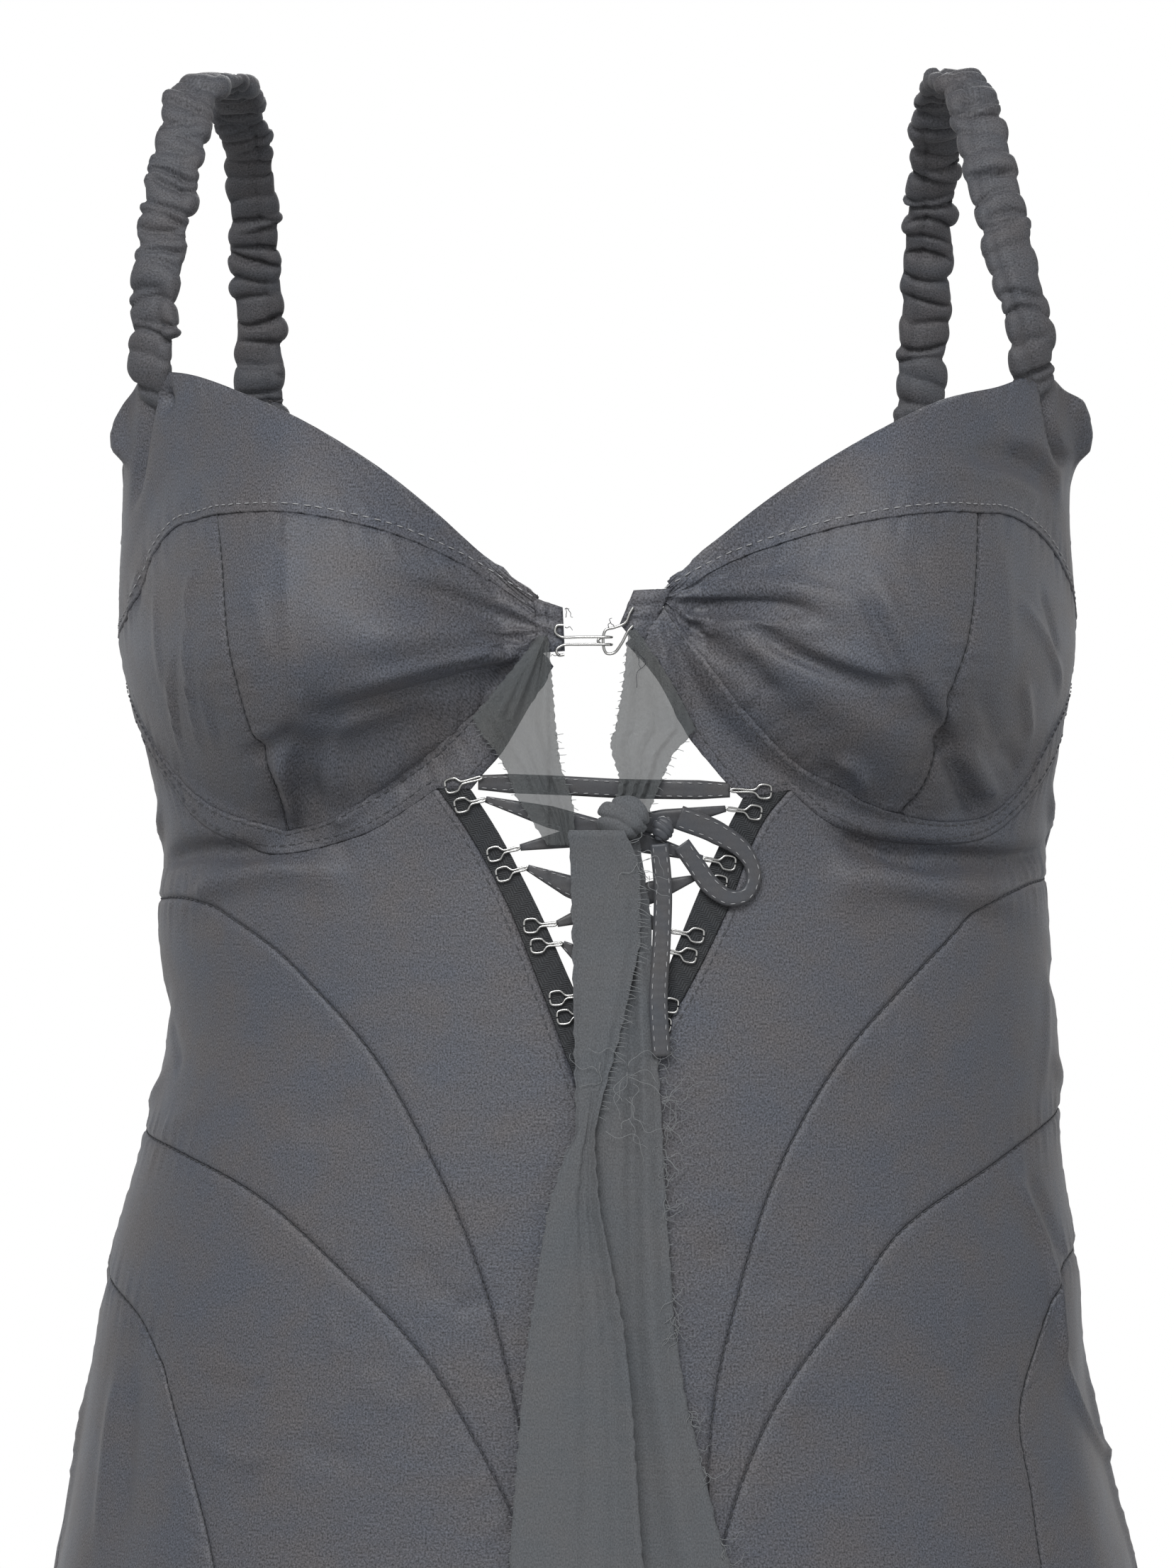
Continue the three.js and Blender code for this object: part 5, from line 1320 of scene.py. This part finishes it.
# Edges from the top: left x, right x, z, height over the dress
SCARF_STRIP_LEFT = [
    (-17.5, -14.4, -190, 2.6), (-20.5, -14, -194, 3), (-24.5, -13.4, -199, 3), (-32, -12.6, -208, 3),
    (-39, -12, -216.6, 3.3), (-36, -11.4, -222, 3.2), (-31.4, -10.8, -227.4, 3.1),
    (-28, -10, -233, 2.7), (-25.4, -7, -241, 2.5), (-21.5, -5.8, -247, 2.5), (-14.5, -5.6, -258, 2.5),
]
SCARF_STRIP_RIGHT = [
    (11.8, 14.6, -188, 2.5), (11.2, 18.6, -194, 2.5), (10.4, 25, -203.5, 2.5), (9, 29.8, -212, 2.5),
    (7.6, 33.8, -220, 2.5), (5.9, 30.5, -224, 2.5), (6.4, 26.4, -228, 2.5), (9, 22.9, -236, 2.5),
    (7.6, 19.8, -244, 2.5), (5.5, 15.6, -255, 2.5),
]
FRONT_TAIL = [
    (-7.6, 10.5, -253, 11), (-7, 15.6, -264, 9), (-6.4, 15.8, -289, 5.4), (-5.9, 9.4, -318, 4.4),
    (-5.4, 3.2, -340, 4.4), (-5.2, 0.6, -351, 4.4), (-9, 1, -358, 4.4), (-14, 2.2, -374, 4.3),
    (-16.7, 5.6, -390, 4.2), (-20, 10, -412, 4.2), (-23, 13, -439, 4.2), (-25.4, 15, -471, 4.2),
    (-28, 18, -510, 4.2), (-33, 24, -600, 4.2), (-36, 30, -690, 4.2),
]
BACK_TAIL = [
    (0, 15, -254.5, 3), (0, 19, -280, 2.7), (-1, 20.8, -319, 2.9), (-3, 22.4, -344, 2.6),
    (-6, 24.2, -378, 2.3), (-8, 26.8, -414, 2.3), (-9, 30.4, -437, 2.3), (-10, 35, -455, 2.3),
    (-11, 40.2, -477, 2.3), (-12, 45, -490, 2.3), (-10, 52, -560, 2.3), (-6, 57, -650, 2.3),
    (-2, 62, -730, 2.3),
]
SCARF_KNOT = {"x": 10, "z": -249, "width": 17, "height": 14, "depth": 8, "lift": 7}
# Folds along each strip: share of its width at the top and at the foot, width as a share, height in mm,
# and the shares of its length between which the fold runs
STRIP_FOLDS_LEFT = [
    (0.86, 0.8, 0.05, 1, 0, 1), (0.76, 0.7, 0.03, -0.9, 0.1, 1), (0.3, 0.62, 0.05, -0.8, 0.2, 0.9),
    (0.12, 0.5, 0.06, 0.8, 0.35, 1), (0.55, 0.35, 0.05, 0.6, 0.1, 0.7),
]
STRIP_FOLDS_RIGHT = [
    (0.3, 0.2, 0.04, -0.9, 0.15, 0.9), (0.42, 0.36, 0.04, 0.8, 0.1, 1),
    (0.55, 0.5, 0.035, -0.8, 0.3, 0.9), (0.9, 0.55, 0.06, 1.4, 0.4, 1),
    (0.82, 0.72, 0.03, -1.2, 0.5, 1), (0.15, 0.1, 0.04, 0.7, 0.2, 0.8),
]
FRONT_TAIL_FOLDS = [
    (1, 1, 0.1, 2.6, 0.25, 1), (0.82, 0.8, 0.06, -0.8, 0.3, 0.9), (0.66, 0.5, 0.05, -0.8, 0.24, 0.5),
    (0.3, 0.3, 0.2, 0.7, 0.3, 1), (0.1, 0.12, 0.04, -0.4, 0, 0.2), (0.75, 0.7, 0.1, 0.8, 0, 0.18),
]
BACK_TAIL_FOLDS = [
    (0.8, 0.76, 0.08, 1.3, 0.05, 1), (0.64, 0.58, 0.08, -1.6, 0.1, 1), (0.93, 0.9, 0.03, -0.5, 0.2, 0.8),
    (0.3, 0.3, 0.1, 0.8, 0.4, 1),
]


def edge_at(table, side, z):
    """The x of a strip's left (0) or right (1) edge, and its height over the dress, at a level."""
    levels = -np.array([row[2] for row in table], float)
    return (np.interp(-z, levels, [row[k] for row in table]) for k in (side, 3))


def chiffon_strip(name, table, folds, steps, across, node_name, paint):
    levels = np.linspace(table[0][2], table[-1][2], steps + 1)
    left, lift = edge_at(table, 0, levels)
    right, lift = edge_at(table, 1, levels)
    wobble = 0.25 * np.sin(levels * 1.9) + 0.2 * np.sin(levels * 3.7 + 1)
    left_edge = np.stack([left + wobble, levels], axis=1)
    right_edge = np.stack([right - 0.8 * wobble[::-1], levels], axis=1)

    def relief(s, v, flat):
        height = 0.16 * np.sin(flat[..., 0] * 1.9 + 0.9 * np.sin(flat[..., 1] * 0.19))
        height = height * np.sin(flat[..., 1] * 0.31 + flat[..., 0] * 0.5)
        for top, foot, width, rise, first, last in folds:
            outside = np.maximum(np.abs(s - (first + last) / 2) - (last - first) / 2, 0)
            away = (v - top - (foot - top) * s) / width
            height = height + rise * np.exp(-((outside / 0.05) ** 2)) * np.exp(-(away**2))
        return height

    piece = strip(name, left_edge, right_edge, lift, paint, steps, across, CHIFFON, relief=relief)
    return place(piece, "chiffon", node_name)


# Each strip's edges, folds, steps along and across, paint, and its cut's width, length and area
SCARF = {
    "strip_left": (SCARF_STRIP_LEFT, STRIP_FOLDS_LEFT, 84, 44, sheer_paint, (30, 75, 15)),
    "strip_right": (SCARF_STRIP_RIGHT, STRIP_FOLDS_RIGHT, 84, 44, sheer_paint, (30, 72, 13.5)),
    "tail_front": (FRONT_TAIL, FRONT_TAIL_FOLDS, 200, 42, chiffon_paint, (75, 445, 170)),
    "tail_back": (BACK_TAIL, BACK_TAIL_FOLDS, 200, 42, chiffon_paint, (75, 485, 225)),
}
for part, (edges, folds, steps, across, paint, cut) in SCARF.items():
    piece = chiffon_strip(f"chiffon_{part}", edges, folds, steps, across, f"scarf_{part}", paint)
place(knot("chiffon_knot", SCARF_KNOT, chiffon_paint, 5, 4), "chiffon", "scarf_knot")

# Loose threads: the torn edges of the scarf ravel into a short fringe and long curled threads, and the
# clasp's sewing ends in a few cut threads. All are single yarns, held where they come out of the cloth.
THREAD_CORNERS = np.radians([90, 210, 330])
# How a loose thread wanders, in degrees: its steady turn, its slow sway and its quick wave
CURL_TURN, CURL_SWAY, CURL_WAVE = 30, 46, 26
frayed_paint = thread_material("frayed_paint", (0.1, 0.11, 0.115), (0.2, 0.205, 0.21))
thread_draw = np.random.default_rng(91)


def loose_threads(name, paths, radius, paint, slot):
    """Threads in one mesh, each a three-sided tube along its path of points in mm."""
    vertices, faces = [], []
    first = 0
    for path in paths:
        along = unit(np.gradient(path, axis=0))
        side = unit(np.cross(along, (0, 1, 0)))
        out = np.cross(side, along)
        turn = np.cos(THREAD_CORNERS)[None, :, None] * side[:, None]
        turn = turn + np.sin(THREAD_CORNERS)[None, :, None] * out[:, None]
        thin = np.linspace(1, 0.6, len(path))[:, None, None]
        vertices.append((path[:, None] + radius * thin * turn).reshape(-1, 3))
        for i in range(len(path) - 1):
            for k in range(3):
                a, b = first + 3 * i + k, first + 3 * i + (k + 1) % 3
                faces.append([a, b, b + 3, a + 3])
        faces.append([first, first + 2, first + 1])
        first += 3 * len(path)
        faces.append([first - 3, first - 2, first - 1])
    return place(joined_mesh(name, np.concatenate(vertices), faces, paint), slot)


def curled(x, z, lift, heading, length, steps=18):
    """A thread that wanders off from x, z at a heading in degrees."""
    s = np.linspace(0, 1, steps)
    sway, wave, rise = thread_draw.uniform(0, 2 * math.pi, 3)
    angle = heading - CURL_TURN * s + CURL_SWAY * (np.sin(5 * s + sway) - math.sin(sway))
    angle = np.radians(angle + CURL_WAVE * (np.sin(13 * s + wave) - math.sin(wave)))
    step = length / steps
    out_x, out_z = x + np.cumsum(step * np.cos(angle)), z + np.cumsum(step * np.sin(angle))
    return over(out_x, out_z, lift + 0.9 * np.sin(4 * s + rise) * s)


def fringe(table, side, top, foot, count, shortest, longest):
    """Short straight threads out of a strip's edge. side is 0 for its left edge, and 1 for its right."""
    out = 1 if side else -1
    paths = []
    for z in np.linspace(top, foot, count) + thread_draw.uniform(-0.5, 0.5, count):
        x, lift = edge_at(table, side, z)
        reach = thread_draw.uniform(shortest, longest)
        tilt, sag = thread_draw.uniform(-0.25, 0.45), thread_draw.uniform(-0.1, 0.35)
        s = np.array([-0.3, 0.3, 0.7, 1])
        paths.append(over(x + out * reach * s, z - reach * (tilt * s + sag * s**2), lift + 0.1))
    return paths


# Edge, side, level from, level to, number of threads, shortest, longest
FRINGES = [
    (FRONT_TAIL, 1, -266, -345, 52, 2.2, 3.6),
    (FRONT_TAIL, 0, -355, -488, 38, 0.7, 1.5),
    (BACK_TAIL, 1, -352, -400, 12, 0.8, 1.8),
    (SCARF_STRIP_LEFT, 0, -218, -246, 14, 1.0, 2.2),
    (SCARF_STRIP_LEFT, 1, -222, -248, 12, 1.0, 2.4),
    (SCARF_STRIP_RIGHT, 0, -196, -222, 10, 0.8, 1.6),
    (SCARF_STRIP_RIGHT, 1, -224, -252, 12, 1.0, 2.2),
]
fringes = [path for row in FRINGES for path in fringe(*row)]
loose_threads("frayed_fringe", fringes, 0.13, frayed_paint, "chiffon")

# Level from, level to, number of threads, shortest, longest, and heading from, to
RAVELLINGS = [
    (-318, -334, 9, 7, 14, -20, 40), (-338, -351, 10, 10, 19, -25, 20), (-355, -363, 6, 6, 14, -40, 15),
    (-367, -380, 7, 6, 14, -50, 10), (-400, -414, 11, 7, 15, -70, -25), (-439, -449, 6, 6, 12, -60, 10),
    (-452, -461, 5, 6, 12, -60, 20), (-478, -489, 7, 6, 12, -70, -20),
]
# Tangles in front of the scarf: number of threads, x from and to, level from and to, height over the
# dress, heading from and to, length from and to, and steps
TANGLES = [
    (14, (2, 13), (-352, -326), 5.8, (-120, 160), (12, 24), 26),
    (10, (14, 19), (-272, -246), 9.5, (-150, 60), (8, 16), 24),
]
curls = []
for top, foot, count, shortest, longest, lowest, highest in RAVELLINGS:
    for z in thread_draw.uniform(foot, top, count):
        x, lift = edge_at(BACK_TAIL, 1, z)
        heading, reach = thread_draw.uniform(lowest, highest), thread_draw.uniform(shortest, longest)
        curls.append(curled(x - 0.5, z, lift + 0.3, heading, reach))
for count, across, levels, lift, headings, reaches, steps in TANGLES:
    for x, z in zip(thread_draw.uniform(*across, count), thread_draw.uniform(*levels, count)):
        heading, reach = thread_draw.uniform(*headings), thread_draw.uniform(*reaches)
        curls.append(curled(x, z, lift, heading, reach, steps))
loose_threads("frayed_curls", curls, 0.12, frayed_paint, "chiffon")

# The clasp's cut threads: x, z, heading, length
CLASP_THREADS = [
    (-9, -181.5, 50, 5), (-8.8, -184, 20, 4), (-9, -187, -20, 3.5), (-10.5, -195.5, -70, 4),
    (5.5, -187.5, 120, 3.5), (7, -187, 70, 4), (9.5, -185, 40, 3.5), (12, -193.5, -20, 17),
]
cut_ends = [curled(x, z, 2.6, heading, length) for x, z, heading, length in CLASP_THREADS]
loose_threads("thread_clasp_ends", cut_ends, 0.16, thread_paint, "satin")
